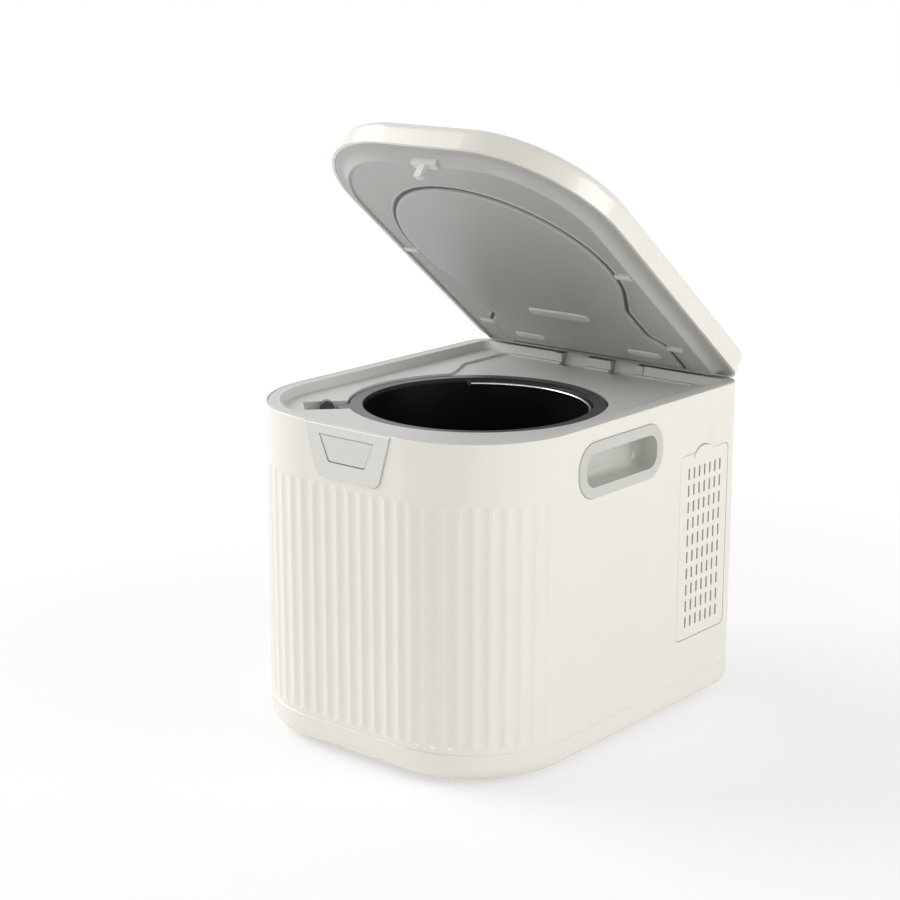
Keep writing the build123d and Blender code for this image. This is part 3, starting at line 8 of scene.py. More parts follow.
# %% Load the frame
import json
import math
import bpy
import numpy as np
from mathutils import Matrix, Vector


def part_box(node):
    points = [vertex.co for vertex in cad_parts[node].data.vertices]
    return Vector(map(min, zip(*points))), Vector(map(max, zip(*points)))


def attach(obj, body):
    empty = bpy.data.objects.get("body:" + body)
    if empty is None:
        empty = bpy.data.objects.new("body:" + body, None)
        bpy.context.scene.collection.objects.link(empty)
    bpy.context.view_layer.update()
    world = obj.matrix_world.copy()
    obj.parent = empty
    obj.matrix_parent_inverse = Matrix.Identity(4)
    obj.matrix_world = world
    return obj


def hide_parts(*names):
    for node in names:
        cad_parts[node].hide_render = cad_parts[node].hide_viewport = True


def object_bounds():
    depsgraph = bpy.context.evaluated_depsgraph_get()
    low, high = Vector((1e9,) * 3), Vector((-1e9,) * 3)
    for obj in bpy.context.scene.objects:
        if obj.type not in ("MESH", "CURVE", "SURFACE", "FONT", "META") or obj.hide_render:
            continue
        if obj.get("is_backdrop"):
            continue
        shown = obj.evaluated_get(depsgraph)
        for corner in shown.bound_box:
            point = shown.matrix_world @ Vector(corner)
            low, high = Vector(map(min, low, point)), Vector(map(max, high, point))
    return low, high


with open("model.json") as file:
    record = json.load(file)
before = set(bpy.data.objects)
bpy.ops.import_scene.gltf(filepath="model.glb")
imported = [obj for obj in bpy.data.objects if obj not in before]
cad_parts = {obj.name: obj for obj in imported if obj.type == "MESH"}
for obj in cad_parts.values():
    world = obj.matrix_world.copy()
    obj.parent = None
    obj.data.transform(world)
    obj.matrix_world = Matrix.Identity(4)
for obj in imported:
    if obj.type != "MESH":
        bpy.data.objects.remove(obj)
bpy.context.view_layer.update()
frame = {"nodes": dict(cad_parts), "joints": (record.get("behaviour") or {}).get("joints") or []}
nodes = frame["nodes"]

# %% [markdown]
# ## Places taken from the frame
# The CAD moved the whole object in Y so that its origin is the middle of its box. The lid's new
# forms are drawn from the body's middle and swung about the hinge, and the bucket changes colour
# at its flange. Those places are read from the frame instead of being written again, so the
# script still fits when the frame moves.

# %% Read the main places
casing_low, casing_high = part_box("outer_casing")
body_mid_y = ((casing_low + casing_high) / 2).y
bucket_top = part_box("bucket")[1].z
hinge = next(joint for joint in frame["joints"] if joint["name"] == "lid_hinge")
hinge_y, hinge_z = hinge["pos_m"][1:]
lid_open = math.radians(-hinge["range_deg"][0])
print("body middle", round(body_mid_y, 5), "bucket top", round(bucket_top, 5),
      "hinge", hinge_y, hinge_z, "lid open by", round(lid_open, 4), "radians")

# %% [markdown]
# ## Shader maths as expressions
# A Blender material is a graph of nodes. Wiring each Math node by hand hides the formula, so a
# socket is wrapped in a small class whose `+`, `-` and `*` add the Math node that does it. The
# reflected forms are there too, so that a plain number may stand on the left.

# %% The socket class
class Sock:
    """A node's output that can be added, subtracted and multiplied as if it were a number."""

    def __init__(self, graph, link):
        self.graph = graph
        self.link = link

    def maths(self, operation, other):
        """A Math node with this socket first and the other value second."""
        return self.graph.node("ShaderNodeMath", {"operation": operation}, {0: self, 1: other})

    def __add__(self, other):
        return self.maths("ADD", other)

    def __sub__(self, other):
        return self.maths("SUBTRACT", other)

    def __rsub__(self, other):
        return self.graph.node("ShaderNodeMath", {"operation": "SUBTRACT"}, {0: other, 1: self})

    def __mul__(self, other):
        return self.maths("MULTIPLY", other)

    __radd__ = __add__
    __rmul__ = __mul__


print("socket class with", [name for name in vars(Sock) if name.startswith("__r")], "too")

# %% [markdown]
# ## One graph for a material or for the world
# Materials and the world both own a node tree. One class empties that tree and then fills it
# through a single method, `Graph.node`, which takes a node's type, its settings and its inputs.
# Settings come first because they decide which inputs a node has. The few nodes that are used
# again and again get short methods of their own.

# %% The graph class
class Graph:
    """The node tree of one new material, or of the world."""

    def __init__(self, owner):
        self.owner = owner
        owner.use_nodes = True
        self.tree = owner.node_tree
        self.tree.nodes.clear()

    def node(self, kind, settings=None, inputs=None, output=0):
        """Adds a node, sets its settings, then its sockets, and returns one output."""
        made = self.tree.nodes.new(kind)
        for key, value in (settings or {}).items():
            if key == "stops":
                self.fill_ramp(made.color_ramp, value)
            else:
                setattr(made, key, value)
        for key, value in (inputs or {}).items():
            if isinstance(value, Sock):
                self.tree.links.new(value.link, made.inputs[key])
            else:
                made.inputs[key].default_value = value
        return Sock(self, made.outputs[output]) if made.outputs else None

    def fill_ramp(self, ramp, stops):
        """Gives a colour ramp its stops, each a place from 0 to 1 and a grey."""
        while len(ramp.elements) < len(stops):
            ramp.elements.new(0.5)
        for element, (place, grey) in zip(ramp.elements, stops):
            element.position = place
            element.color = (grey, grey, grey, 1)

    def place(self):
        """Object coordinates: metres from the object's own origin, which rides with the piece."""
        return self.node("ShaderNodeTexCoord", output="Object")

    def noise(self, scale, detail=2.0, roughness=0.5, vector=None):
        """Noise from 0 to 1, with about scale waves in a metre."""
        inputs = {"Vector": vector or self.place(), "Scale": scale, "Detail": detail,
                  "Roughness": roughness}
        return self.node("ShaderNodeTexNoise", {}, inputs)

    def mix(self, factor, first, second):
        """Mixes two colours: first where factor is 0, second where it is 1. A colour mix has
        its factor in socket 0, its colours in 6 and 7, and its result in output 2."""
        settings = {"data_type": "RGBA"}
        return self.node("ShaderNodeMix", settings, {0: factor, 6: first, 7: second}, output=2)

    def bump(self, strength, distance, height):
        """A bump whose height is counted in units of distance metres."""
        inputs = {"Strength": strength, "Distance": distance, "Height": height}
        return self.node("ShaderNodeBump", {}, inputs)

    def viewed(self):
        """1 for a ray that shows its surface to the camera, straight, in a reflection or through
        glass, and 0 for one that only carries light: the greatest of three Light Path outputs."""
        straight, mirrored, through = [
            self.node("ShaderNodeLightPath", output=ray)
            for ray in ("Is Camera Ray", "Is Glossy Ray", "Is Transmission Ray")]
        return straight.maths("MAXIMUM", mirrored).maths("MAXIMUM", through)

    def finish(self, **inputs):
        """Ends the graph in a Principled shader with the named inputs."""
        names = {key.replace("_", " "): value for key, value in inputs.items()}
        shader = self.node("ShaderNodeBsdfPrincipled", {}, names)
        self.node("ShaderNodeOutputMaterial", {}, {"Surface": shader})
        return self.owner


def new_finish(name):
    """The empty graph of a new material."""
    return Graph(bpy.data.materials.new(name))


print("graph methods", [name for name in vars(Graph) if not name.startswith("_")])

# %% [markdown]
# ## Colours as a paint chart gives them
# A paint chart or a colour picker gives sRGB values from 0 to 255, while Blender's sockets take
# linear light. The curve between the two is undone once, here, so that every colour below can be
# written the way people read it.

# %% From sRGB to linear
def rgb(red, green, blue):
    """An sRGB colour as linear RGBA: each channel over 255, then divided by 12.92 near black,
    and elsewhere 0.055 is added, the sum divided by 1.055 and raised to the power 2.4."""
    def line(v):
        v = v / 255
        return v / 12.92 if v <= 0.04045 else ((v + 0.055) / 1.055) ** 2.4
    return (line(red), line(green), line(blue), 1.0)


def darker(colour, share):
    """The same colour with a share of its light taken away."""
    return tuple(c * (1 - share) for c in colour[:3]) + (1.0,)


CREAM = rgb(233, 230, 221)
DECK_GREY = rgb(218, 218, 214)
PALE_GREY = rgb(202, 202, 196)
print("cream in linear light", [round(c, 3) for c in CREAM[:3]])

# %% [markdown]
# ## The moulded plastics
# The body is injection-moulded and semi-gloss. Three things keep it from looking like paint on
# glass: a very fine ripple called orange peel, a slow wave where the wall sank as it cooled, and
# a sheen that changes a little from place to place. A picture of plastic wrapped round the box
# would stretch at the corners, so all three are noise in Object coordinates. One function makes
# every plastic of the machine, down to the rubber feet, from the same few numbers.

# %% How a moulded plastic is made
MM_PER_M = 1000.0
SINK_WAVES = 25.0       # waves of the sunk wall in a metre, so one is 40 mm long
TINT = 0.02             # how much darker the colour gets in the slow wave
BUMP_UNIT = 0.001       # metres for a bump height of 1
CLEAR_ROUGH = 0.12      # roughness of the clear, shiny top layer


def moulded(name, colour, rough, grain_mm, grain, wave=0.0, coat=0.0):
    """A moulded plastic. Its colour shifts by TINT and its roughness by a few hundredths, and
    its height is fine noise of grain_mm times grain, plus the slow noise times wave."""
    g = new_finish(name)
    slow = g.noise(SINK_WAVES)
    fine = g.noise(MM_PER_M / grain_mm, 3.0, 0.6)
    base = g.mix(slow, darker(colour, TINT), colour)
    sheen = rough + (fine - 0.5) * 0.06 + (slow - 0.5) * 0.05
    relief = g.bump(1.0, BUMP_UNIT, fine * grain + slow * wave)
    return g.finish(Base_Color=base, Roughness=sheen, Normal=relief, Coat_Weight=coat,
                    Coat_Roughness=CLEAR_ROUGH)


print("a moulded wall waves every", MM_PER_M / SINK_WAVES, "mm")

# %% The plastics: name, colour, roughness, grain in mm, grain's height, wave's height, coat
cream = moulded("cream_gloss", CREAM, 0.24, 0.9, 0.006, 0.10, coat=0.25)
cream_satin = moulded("cream_satin", CREAM, 0.42, 0.5, 0.015)
deck_grey = moulded("deck_satin", DECK_GREY, 0.36, 0.45, 0.020, 0.05)
lid_grey = moulded("lid_satin", rgb(180, 180, 177), 0.34, 0.45, 0.018, 0.08)
# The clips' and hook's own paler grey, also put on the lid's pads as a painted highlight
pale_clip_grey_and_pad_highlight = moulded("clip_satin_and_pad_highlight", rgb(216, 216, 212), 0.34, 0.45, 0.018)
cup_grey = moulded("cup_gloss", PALE_GREY, 0.28, 0.8, 0.004, coat=0.2)
badge_grey = moulded("badge_gloss", rgb(219, 219, 215), 0.28, 0.8, 0.003, coat=0.2)
button_grey = moulded("button_gloss", rgb(216, 216, 213), 0.26, 0.8, 0.003, coat=0.2)
dark_grey = moulded("switch_dark", rgb(70, 70, 71), 0.32, 0.6, 0.010)
black_nylon = moulded("black_nylon", rgb(30, 30, 31), 0.48, 0.4, 0.030)
seal_grey = moulded("seal_silicone", rgb(92, 92, 91), 0.55, 0.6, 0.012)
rubber = moulded("foot_rubber", rgb(38, 38, 38), 0.72, 0.35, 0.050)
acetal = moulded("gear_acetal", rgb(226, 222, 208), 0.40, 0.6, 0.010)
panel_black = moulded("panel_gloss", rgb(20, 20, 22), 0.10, 2.0, 0.002, coat=0.5)
lens_clear = moulded("lamp_lens", rgb(190, 214, 196), 0.18, 2.0, 0.003)
print("plastics", [m.name for m in (cream, deck_grey, lid_grey, cup_grey, black_nylon)])

# %% [markdown]
# ## The non-stick coats
# The bucket and its paddle are aluminium under a dark non-stick coat. The paddle's is a smooth
# film full of tiny pale flecks, which are the peaks of a fine noise cut off by a colour ramp. The
# bucket's is nearly black inside and dark grey on the flange.
# One mesh can carry both greys when the mix between them reads the height above the flange.

# %% Two coats
COAT_GRAINS = 1400.0    # grains in a metre
COAT_PEEL = 0.02        # height of the coat's grain, in bump units
WORN_WAVES = 60.0       # waves in a metre of the worn sheen inside the bucket
COAT_UNIT = 0.0005      # metres for a bump height of 1
FLECK_EDGES = [(0.64, 0.0), (0.70, 1.0)]
FLECK_SHARE = 0.35
FLANGE_DEPTH = 0.003    # metres from the bucket's top to the underside of its flange


def coated(name, colour, fleck_colour, rough):
    """A coat with flecks: where the fine noise passes FLECK_EDGES, FLECK_SHARE of fleck_colour
    is mixed in. The roughness shifts with the same noise."""
    g = new_finish(name)
    cloud = g.noise(COAT_GRAINS)
    fleck = g.node("ShaderNodeValToRGB", {"stops": FLECK_EDGES}, {"Fac": cloud})
    base = g.mix(fleck * FLECK_SHARE, colour, fleck_colour)
    sheen = rough + (cloud - 0.5) * 0.10
    return g.finish(Base_Color=base, Roughness=sheen, Coat_Weight=0.15, Coat_Roughness=0.1,
                    Normal=g.bump(0.4, COAT_UNIT, cloud * COAT_PEEL))


def pot_coat(name, inside, flange, flange_z, rough):
    """A coat of two greys: inside below flange_z, flange above it, mixed over one millimetre."""
    g = new_finish(name)
    height = g.node("ShaderNodeSeparateXYZ", {}, {0: g.place()}, output="Z")
    reach = {"Value": height, "From Min": flange_z - 0.0008, "From Max": flange_z + 0.0002}
    upper = g.node("ShaderNodeMapRange", {}, reach)
    cloud = g.noise(COAT_GRAINS)
    worn = g.noise(WORN_WAVES, 3.0)
    sheen = rough + (cloud - 0.5) * 0.08 + (worn - 0.5) * 0.06
    return g.finish(Base_Color=g.mix(upper, inside, flange), Roughness=sheen,
                    Normal=g.bump(0.4, COAT_UNIT, cloud * COAT_PEEL))


coat_black = coated("bucket_coat", rgb(22, 22, 23), rgb(70, 70, 72), 0.26)
pot_black = pot_coat("bucket_pot_coat", rgb(12, 12, 13), rgb(58, 58, 59),
                     bucket_top - FLANGE_DEPTH, 0.30)
print("coats", coat_black.name, pot_black.name)

# %% [markdown]
# ## Bare metals
# The bail is drawn stainless wire, the liner is rolled sheet, and the gears' pinion is cut brass.
# Bare metal needs Metallic 1 and a roughness that runs in streaks along the way it was rolled or
# drawn. A Mapping node stretches the noise that way, which is simpler than drawing the streaks.

# %% How a metal is made
ALONG_Z = (1.0, 1.0, 30.0)      # streaks thirty times as long as they are wide
EVEN = (1.0, 1.0, 1.0)
STREAK_LINES = 900.0            # streaks side by side in a metre
CLOUD_WAVES = 18.0              # waves in a metre of the slow cloud
STREAK_UNIT = 0.0003            # metres for a bump height of 1


def metal(name, colour, rough, stretch=ALONG_Z, streak=0.12):
    """A bare metal: its roughness shifts with stretched noise times streak and with a slow
    cloud, and its colour is darker by 6 parts in 100 where the cloud is low."""
    g = new_finish(name)
    run = g.node("ShaderNodeMapping", {"vector_type": "TEXTURE"},
                 {"Vector": g.place(), "Scale": stretch})
    grain = g.noise(STREAK_LINES, 3.0, 0.6, vector=run)
    cloud = g.noise(CLOUD_WAVES)
    sheen = rough + (grain - 0.5) * streak + (cloud - 0.5) * 0.06
    base = g.mix(cloud, darker(colour, 0.06), colour)
    return g.finish(Base_Color=base, Metallic=1.0, Roughness=sheen,
                    Normal=g.bump(0.3, STREAK_UNIT, grain * 0.05))


wire_steel = metal("wire_steel", rgb(226, 226, 226), 0.20, EVEN, 0.08)
zinc_steel = metal("zinc_steel", rgb(190, 190, 188), 0.34)
liner_metal = metal("liner_aluminium", rgb(205, 205, 206), 0.36)
heater_metal = metal("heater_steel", rgb(150, 146, 140), 0.44)
motor_metal = metal("motor_steel", rgb(120, 120, 122), 0.38)
brass = metal("cut_brass", rgb(212, 176, 96), 0.30)
print("metals", [m.name for m in (wire_steel, zinc_steel, liner_metal, brass)])

# %% [markdown]
# ## Carbon and circuit boards
# What hides inside still gets a finish, because the drawer opens and its carbon shows through the
# slots. Granular carbon is a Voronoi pattern: each cell is one grain, higher in its middle and
# paler there, with painted shade darkening it towards the gaps between grains. That costs far less
# than thousands of real grains. A board is green solder mask with its tracks as the bands of a
# distorted wave.

# %% Granules
def granules(name, grain_mm):
    """Loose grains: a Voronoi cell each, darker at its edge, raised in its middle."""
    g = new_finish(name)
    cell = g.node("ShaderNodeTexVoronoi", {},
                  {"Vector": g.place(), "Scale": MM_PER_M / grain_mm})
    # Painted shade: each grain is grey 44 in its middle and darkens to 14 at its edge, where grains
    # meet
    base = g.mix(cell, rgb(44, 44, 45), rgb(14, 14, 14))
    relief = g.node("ShaderNodeBump", {"invert": True},
                    {"Strength": 0.9, "Distance": BUMP_UNIT, "Height": cell})
    return g.finish(Base_Color=base, Roughness=0.62, Normal=relief)


carbon = granules("carbon_grains", 2.2)
print("granules", carbon.name)

# %% Circuit boards
TRACK_BANDS = 160.0
TRACK_EDGES = [(0.80, 0.0), (0.86, 1.0)]


def board(name):
    """Green solder mask, with paler tracks where a distorted wave passes TRACK_EDGES."""
    g = new_finish(name)
    bands = {"Vector": g.place(), "Scale": TRACK_BANDS, "Distortion": 2.0}
    tracks = g.node("ShaderNodeTexWave", {"bands_direction": "DIAGONAL"}, bands, output="Fac")
    line = g.node("ShaderNodeValToRGB", {"stops": TRACK_EDGES}, {"Fac": tracks})
    return g.finish(Base_Color=g.mix(line, rgb(16, 74, 44), rgb(60, 130, 84)), Roughness=0.35)


solder_mask = board("solder_mask")
print("board", solder_mask.name)

# %% [markdown]
# ## Which piece has which finish
# On the real machine a part's material follows its work: cream where hands and eyes go, satin
# grey where the lid and deck meet the food, black nylon for what is out of sight. The table is
# read by finish, so a forgotten piece would be easy to miss. The script therefore compares it
# with the frame and prints whatever was left bare.

# %% The table of finishes
FINISHES = {
    cream: ["outer_casing", "base_tray", "lid_shell", "filter_cover"],
    cream_satin: ["rear_cover"],
    deck_grey: ["top_deck", "hinge_bracket", "hinge_arms"],
    lid_grey: ["lid_inner_panel", "lid_inner_cover"],
    pale_clip_grey_and_pad_highlight: ["cover_clips", "lid_hook"],
    cup_grey: ["handle_cup_right", "handle_cup_left"],
    badge_grey: ["latch_bezel"],
    button_grey: ["release_button"],
    dark_grey: ["lid_sensor_housing", "carbon_cartridge"],
    seal_grey: ["lid_gasket"],
    rubber: ["rubber_feet"],
    pot_black: ["bucket"],
    coat_black: ["mixing_paddle"],
    wire_steel: ["bail_handle"],
    zinc_steel: ["base_screws", "liner_screws", "hinge_pin", "gear_axles", "button_spring",
                 "output_shaft", "motor_shaft", "chassis_plate"],
    liner_metal: ["chamber_liner"],
    heater_metal: ["heater_plate", "thermal_sensor"],
    motor_metal: ["drive_motor", "fan_motor", "lid_magnet"],
    acetal: ["output_gear", "second_gear", "first_gear"],
    brass: ["motor_pinion", "shaft_bush"],
    black_nylon: ["driven_coupling", "driving_coupling", "gearbox_case", "gearbox_cover",
                  "fan_housing", "fan_impeller", "air_duct", "filter_frame", "latch_slider",
                  "latch_housing", "mains_inlet"],
    carbon: ["carbon_filter"],
    solder_mask: ["power_board", "control_board", "lid_board"],
    panel_black: ["touch_panel"],
    lens_clear: ["indicator_lenses"],
}
bare = sorted(set(nodes) - {n for names in FINISHES.values() for n in names})
print("pieces in the table", sum(len(v) for v in FINISHES.values()), "left bare", bare)

# %% Paint them
def paint(node, material):
    """Puts one material in every slot of a CAD node's mesh."""
    slots = nodes[node].data.materials
    if not slots:
        slots.append(material)
    for k in range(len(slots)):
        slots[k] = material


for material, names in FINISHES.items():
    for name in names:
        paint(name, material)
print("painted with", len(FINISHES), "finishes")

# %% [markdown]
# ## The lid, shut and open
# The frame's panel under the lid has a straight slope and a square bead, and the moulded one is
# soft. Its new forms are easiest to draw on a shut lid, where every height is a plain Z in
# millimetres. The lid stands open, though, so each finished form is swung about the hinge. The
# same turn, made backwards, measures how large the frame's lid is when it is shut.

# %% Measure the shut lid, and swing a form open
def closed_lid_bounds(node):
    """Corners of a lid piece with the lid shut, in mm from the body's middle: each vertex is
    turned back about the hinge by the open angle."""
    mesh = nodes[node].data
    flat = np.empty(len(mesh.vertices) * 3)
    mesh.vertices.foreach_get("co", flat)
    points = flat.reshape(-1, 3)
    dy, dz = points[:, 1] - hinge_y, points[:, 2] - hinge_z
    c, s = math.cos(lid_open), math.sin(lid_open)
    shut_y, shut_z = dy * c - dz * s + hinge_y - body_mid_y, dy * s + dz * c + hinge_z
    shut = np.stack([points[:, 0], shut_y, shut_z], 1)
    return shut.min(0) * MM_PER_M, shut.max(0) * MM_PER_M


def swing_open(points):
    """Shut-lid points in mm to open-lid points in metres: a turn by the open angle about the
    hinge."""
    p = np.asarray(points) / MM_PER_M
    dy, dz = p[..., 1] + body_mid_y - hinge_y, p[..., 2] - hinge_z
    c, s = math.cos(lid_open), math.sin(lid_open)
    return np.stack([p[..., 0], hinge_y + dy * c + dz * s, hinge_z - dy * s + dz * c], -1)


shell_low, shell_high = closed_lid_bounds("lid_shell")
rim_z = shell_low[2]
print("shut lid", np.round(shell_low, 2), np.round(shell_high, 2))

# %% [markdown]
# ## Forms made of rings
# Every form below is a surface of two parameters: how far round its outline, and how far in from
# its edge. One ring is a closed loop of points, the next is the same loop moved inward and down,
# and a whole form is one array of shape (rings, points, 3). Sculpting could give such relief too,
# but rings keep each millimetre of it in a table that can be read and changed.

# %% Rings to a mesh
def at_height(loop, z):
    """The flat loop with z as every point's third value."""
    return np.column_stack([loop, np.full(len(loop), z)])


def ring_form(name, rings, material, body, closed_end=True, thick=0.0):
    """A mesh of quads between neighbouring rings, with one flat face on the last ring. Point j of
    ring k has the number k * around + j. A wall of thick mm grows behind the surface."""
    count, around = rings.shape[:2]
    k, j = np.meshgrid(np.arange(count - 1), np.arange(around), indexing="ij")
    here, below = k * around, (k + 1) * around
    n = (j + 1) % around
    quads = np.stack([here + j, below + j, below + n, here + n], -1).reshape(-1, 4)
    faces = quads.tolist()
    if closed_end:
        faces.append(list(range(count * around - 1, (count - 1) * around - 1, -1)))
    mesh = bpy.data.meshes.new(name)
    mesh.from_pydata(rings.reshape(-1, 3).tolist(), [], faces)
    mesh.polygons.foreach_set("use_smooth", [True] * len(faces))
    mesh.materials.append(material)
    thing = bpy.data.objects.new(name, mesh)
    bpy.context.scene.collection.objects.link(thing)
    if thick:
        skin = thing.modifiers.new("thickness", "SOLIDIFY")
        skin.thickness, skin.offset = thick / MM_PER_M, -1.0
    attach(thing, body)
    return thing


print("ring forms ready")

# %% [markdown]
# ## The panel under the lid
# This is one large moulding: a flat land by the shell, a slope that curls over into a round bead,
# and a flat plateau in the middle. Its outline is the lid's own, a rectangle with large corners
# at the front and small ones at the hinge. A bevel on the frame's panel would round its edges but
# not curl the slope, so the section is a row of points, carried round the outline.

# %% An outline with rounded corners
LEAST_RADIUS = 1.5      # mm, so that a corner never folds over itself
ARC_POINTS = 28         # on each corner
LINE_POINTS = 24        # between two corners


def rounded_loop(half, front, rear, r_front, r_rear, inset):
    """A rectangle's outline with large front corners and small rear ones, moved inward by inset.
    Each corner is a quarter circle about a fixed centre, so its radius shrinks by inset."""
    corners = [(1, front, r_front, -90), (1, rear, r_rear, 0),
               (-1, rear, r_rear, 90), (-1, front, r_front, 180)]
    quarters = []
    for side, y, radius, start in corners:
        angle = np.radians(start + np.linspace(0, 90, ARC_POINTS))
        cx, cy = side * (half - radius), y + radius * (1 if y < 0 else -1)
        r = max(radius - inset, LEAST_RADIUS)
        quarters.append(np.stack([cx + r * np.cos(angle), cy + r * np.sin(angle)], 1))
    parts = []
    for k, corner in enumerate(quarters):
        after = quarters[(k + 1) % 4][0]
        t = np.linspace(0, 1, LINE_POINTS + 2)[1:-1, None]
        parts += [corner, corner[-1] * (1 - t) + after * t]
    return np.concatenate(parts)


LID_CORNERS = (93.0, 20.0)      # radius at the front and at the hinge, mm
outline = rounded_loop(shell_high[0], shell_low[1], shell_high[1], *LID_CORNERS, 0.0)
print("lid outline", outline.shape, "points, from", np.round(outline.min(0), 1), "to",
      np.round(outline.max(0), 1))

# %% The panel: a land, a curled slope, a bead and a plateau
PLATEAU_DROP = 5.5
PANEL_WALL = 1.2
PANEL_PROFILE = [   # mm inward from the lid's outline, mm down from its rim
    (2.8, -2.0), (2.8, -0.3), (3.2, 0.0), (5.0, 0.0), (7.5, 0.05), (9.5, 0.25),
    (11.2, 0.8), (12.6, 1.8), (13.9, 3.2), (15.0, 4.7), (15.8, 6.0), (16.3, 6.7),
    (17.0, 7.15), (17.8, 7.15), (18.5, 6.7), (19.0, 6.05), (19.4, 5.65),
    (20.0, PLATEAU_DROP), (22.0, PLATEAU_DROP)]
panel_rings = np.stack([
    at_height(rounded_loop(shell_high[0], shell_low[1], shell_high[1], *LID_CORNERS, inset),
              rim_z - drop)
    for inset, drop in PANEL_PROFILE])
lid_skin = ring_form("lid_underside", swing_open(panel_rings), lid_grey, "lid",
                     thick=PANEL_WALL)
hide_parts("lid_inner_panel")
print("lid underside", panel_rings.shape, "points")

# %% [markdown]
# ## The cover plate under the lid
# On the plateau lies a keyhole-shaped plate with a rounded edge. It is round at the front, over
# the bucket, narrows to a neck and widens again by the hinge. A dark seal shows as a thin seam
# round it, and a low lip runs outside the seam. All three follow one outline at different
# distances, so the outline is drawn once as straight and round pieces, evened out and softened.

# %% Even out a loop, and move it inward
LOOP_POINTS = 420


def even_loop(corners, sigma):
    """A closed polygon sampled evenly, then blurred along its length by sigma mm, which rounds
    every corner alike."""
    points = np.vstack([corners, corners[:1]])
    along = np.concatenate([[0], np.cumsum(np.hypot(*np.diff(points, axis=0).T))])
    step = along[-1] / LOOP_POINTS
    t = np.arange(LOOP_POINTS) * step
    loop = np.stack([np.interp(t, along, points[:, k]) for k in (0, 1)], 1)
    reach = int(4 * sigma / step)
    weight = np.exp(-0.5 * (np.arange(-reach, reach + 1) * step / sigma) ** 2)
    weight /= weight.sum()
    shifts = range(-reach, reach + 1)
    return sum(w * np.roll(loop, k, axis=0) for w, k in zip(weight, shifts))


def inward(loop, distance):
    """The loop moved inward by distance along its normals, for a loop that runs anticlockwise."""
    run = np.roll(loop, -1, axis=0) - np.roll(loop, 1, axis=0)
    run /= np.hypot(*run.T)[:, None]
    return loop + distance * np.stack([-run[:, 1], run[:, 0]], 1)


def stepped(loop, profile, top_z):
    """The rings of a form: one loop for each (inward, down) pair of mm in the profile."""
    return np.stack([at_height(inward(loop, d), top_z - drop) for d, drop in profile])


print("an even loop has", LOOP_POINTS, "points")

# %% The plate's outline
COVER_R, COVER_Y = 96.5, -15.6                  # the round part's radius and middle
COVER_JOIN = math.radians(24.0)                 # how far past its sides the round part runs
NECK, FLARE = 77.0, 88.0                        # half widths of the neck and of the rear end
FLARE_Y, FLARE_RUN, COVER_REAR = 88.0, 12.0, 138.0
CORNER_BLUR = 2.6                               # the sigma that softens the corners
ROUND_POINTS = 90
arc = np.linspace(-math.pi - COVER_JOIN, COVER_JOIN, ROUND_POINTS)
round_front = np.stack([COVER_R * np.cos(arc), COVER_Y + COVER_R * np.sin(arc)], 1)
neck_y = round_front[-1, 1] + (round_front[-1, 0] - NECK) / math.tan(COVER_JOIN)
right_side = [(NECK, neck_y), (NECK, FLARE_Y), (FLARE, FLARE_Y + FLARE_RUN), (FLARE, COVER_REAR)]
left_side = [(-x, y) for x, y in reversed(right_side)]
cover_loop = even_loop(np.vstack([round_front, right_side, left_side]), CORNER_BLUR)
print("cover outline", cover_loop.shape, "neck from y", round(neck_y, 2))

# %% The plate, its seam and its lip
plateau_z = rim_z - PLATEAU_DROP
COVER_DEPTH = 2.9
# A profile is a row of pairs: mm inward from the plate's outline, mm down from the plateau.
COVER_PROFILE = [(0.0, 0.1), (0.0, 1.5), (0.25, 2.1), (0.7, 2.5), (1.4, 2.75), (2.4, 2.88),
                 (3.6, COVER_DEPTH), (6.0, COVER_DEPTH)]
SEAM_PROFILE = [(-2.8, 0.15), (0.4, 0.15)]
LIP_PROFILE = [(-5.2, -0.2), (-4.9, 0.35), (-4.4, 0.8), (-3.8, 1.0), (-3.2, 0.8), (-2.7, 0.1)]
plate = stepped(cover_loop, COVER_PROFILE, plateau_z)
seam = stepped(cover_loop, SEAM_PROFILE, plateau_z)
lip = stepped(cover_loop, LIP_PROFILE, plateau_z)
cover_plate = ring_form("lid_cover_plate", swing_open(plate), lid_grey, "lid")
cover_seam = ring_form("lid_cover_seam", swing_open(seam), seal_grey, "lid",
                       closed_end=False)
ring_form("lid_cover_lip", swing_open(lip), lid_grey, "lid", closed_end=False)
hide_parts("lid_inner_cover")
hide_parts("lid_gasket")
print("cover plate", plate.shape, "from", plate[..., 1].min().round(1), "to",
      plate[..., 1].max().round(1))

# %% [markdown]
# ## Three raised pads
# The plate is stiffened by three low bars, one long one in its middle and a short one on each
# side of its neck. They are mounds without an edge, so a box with a bevel would look too sharp.
# The same rings do it: the rounded bar shrinks evenly, while its height rises quickly at first
# and then levels off. The pads are given the clips' paler grey instead of the plate's own, as a
# painted highlight on their tops.

# %% The pads
PAD_POINTS = 96
PAD_POWER = 0.4         # 2 over the power 5 of the superellipse
PAD_SCALES = (1.0, 0.985, 0.96, 0.92, 0.86, 0.78, 0.66, 0.5, 0.3)
PAD_SUNK = 0.1          # mm that a pad's foot is sunk into the plate
PADS = [                # name, middle x and y, length, width, height, all in mm
    ("centre", 2.0, 68.0, 60.0, 11.0, 1.8),
    ("left", -56.0, 117.0, 32.0, 9.0, 1.1),
    ("right", 60.0, 117.0, 32.0, 9.0, 1.1)]
cover_z = plateau_z - COVER_DEPTH


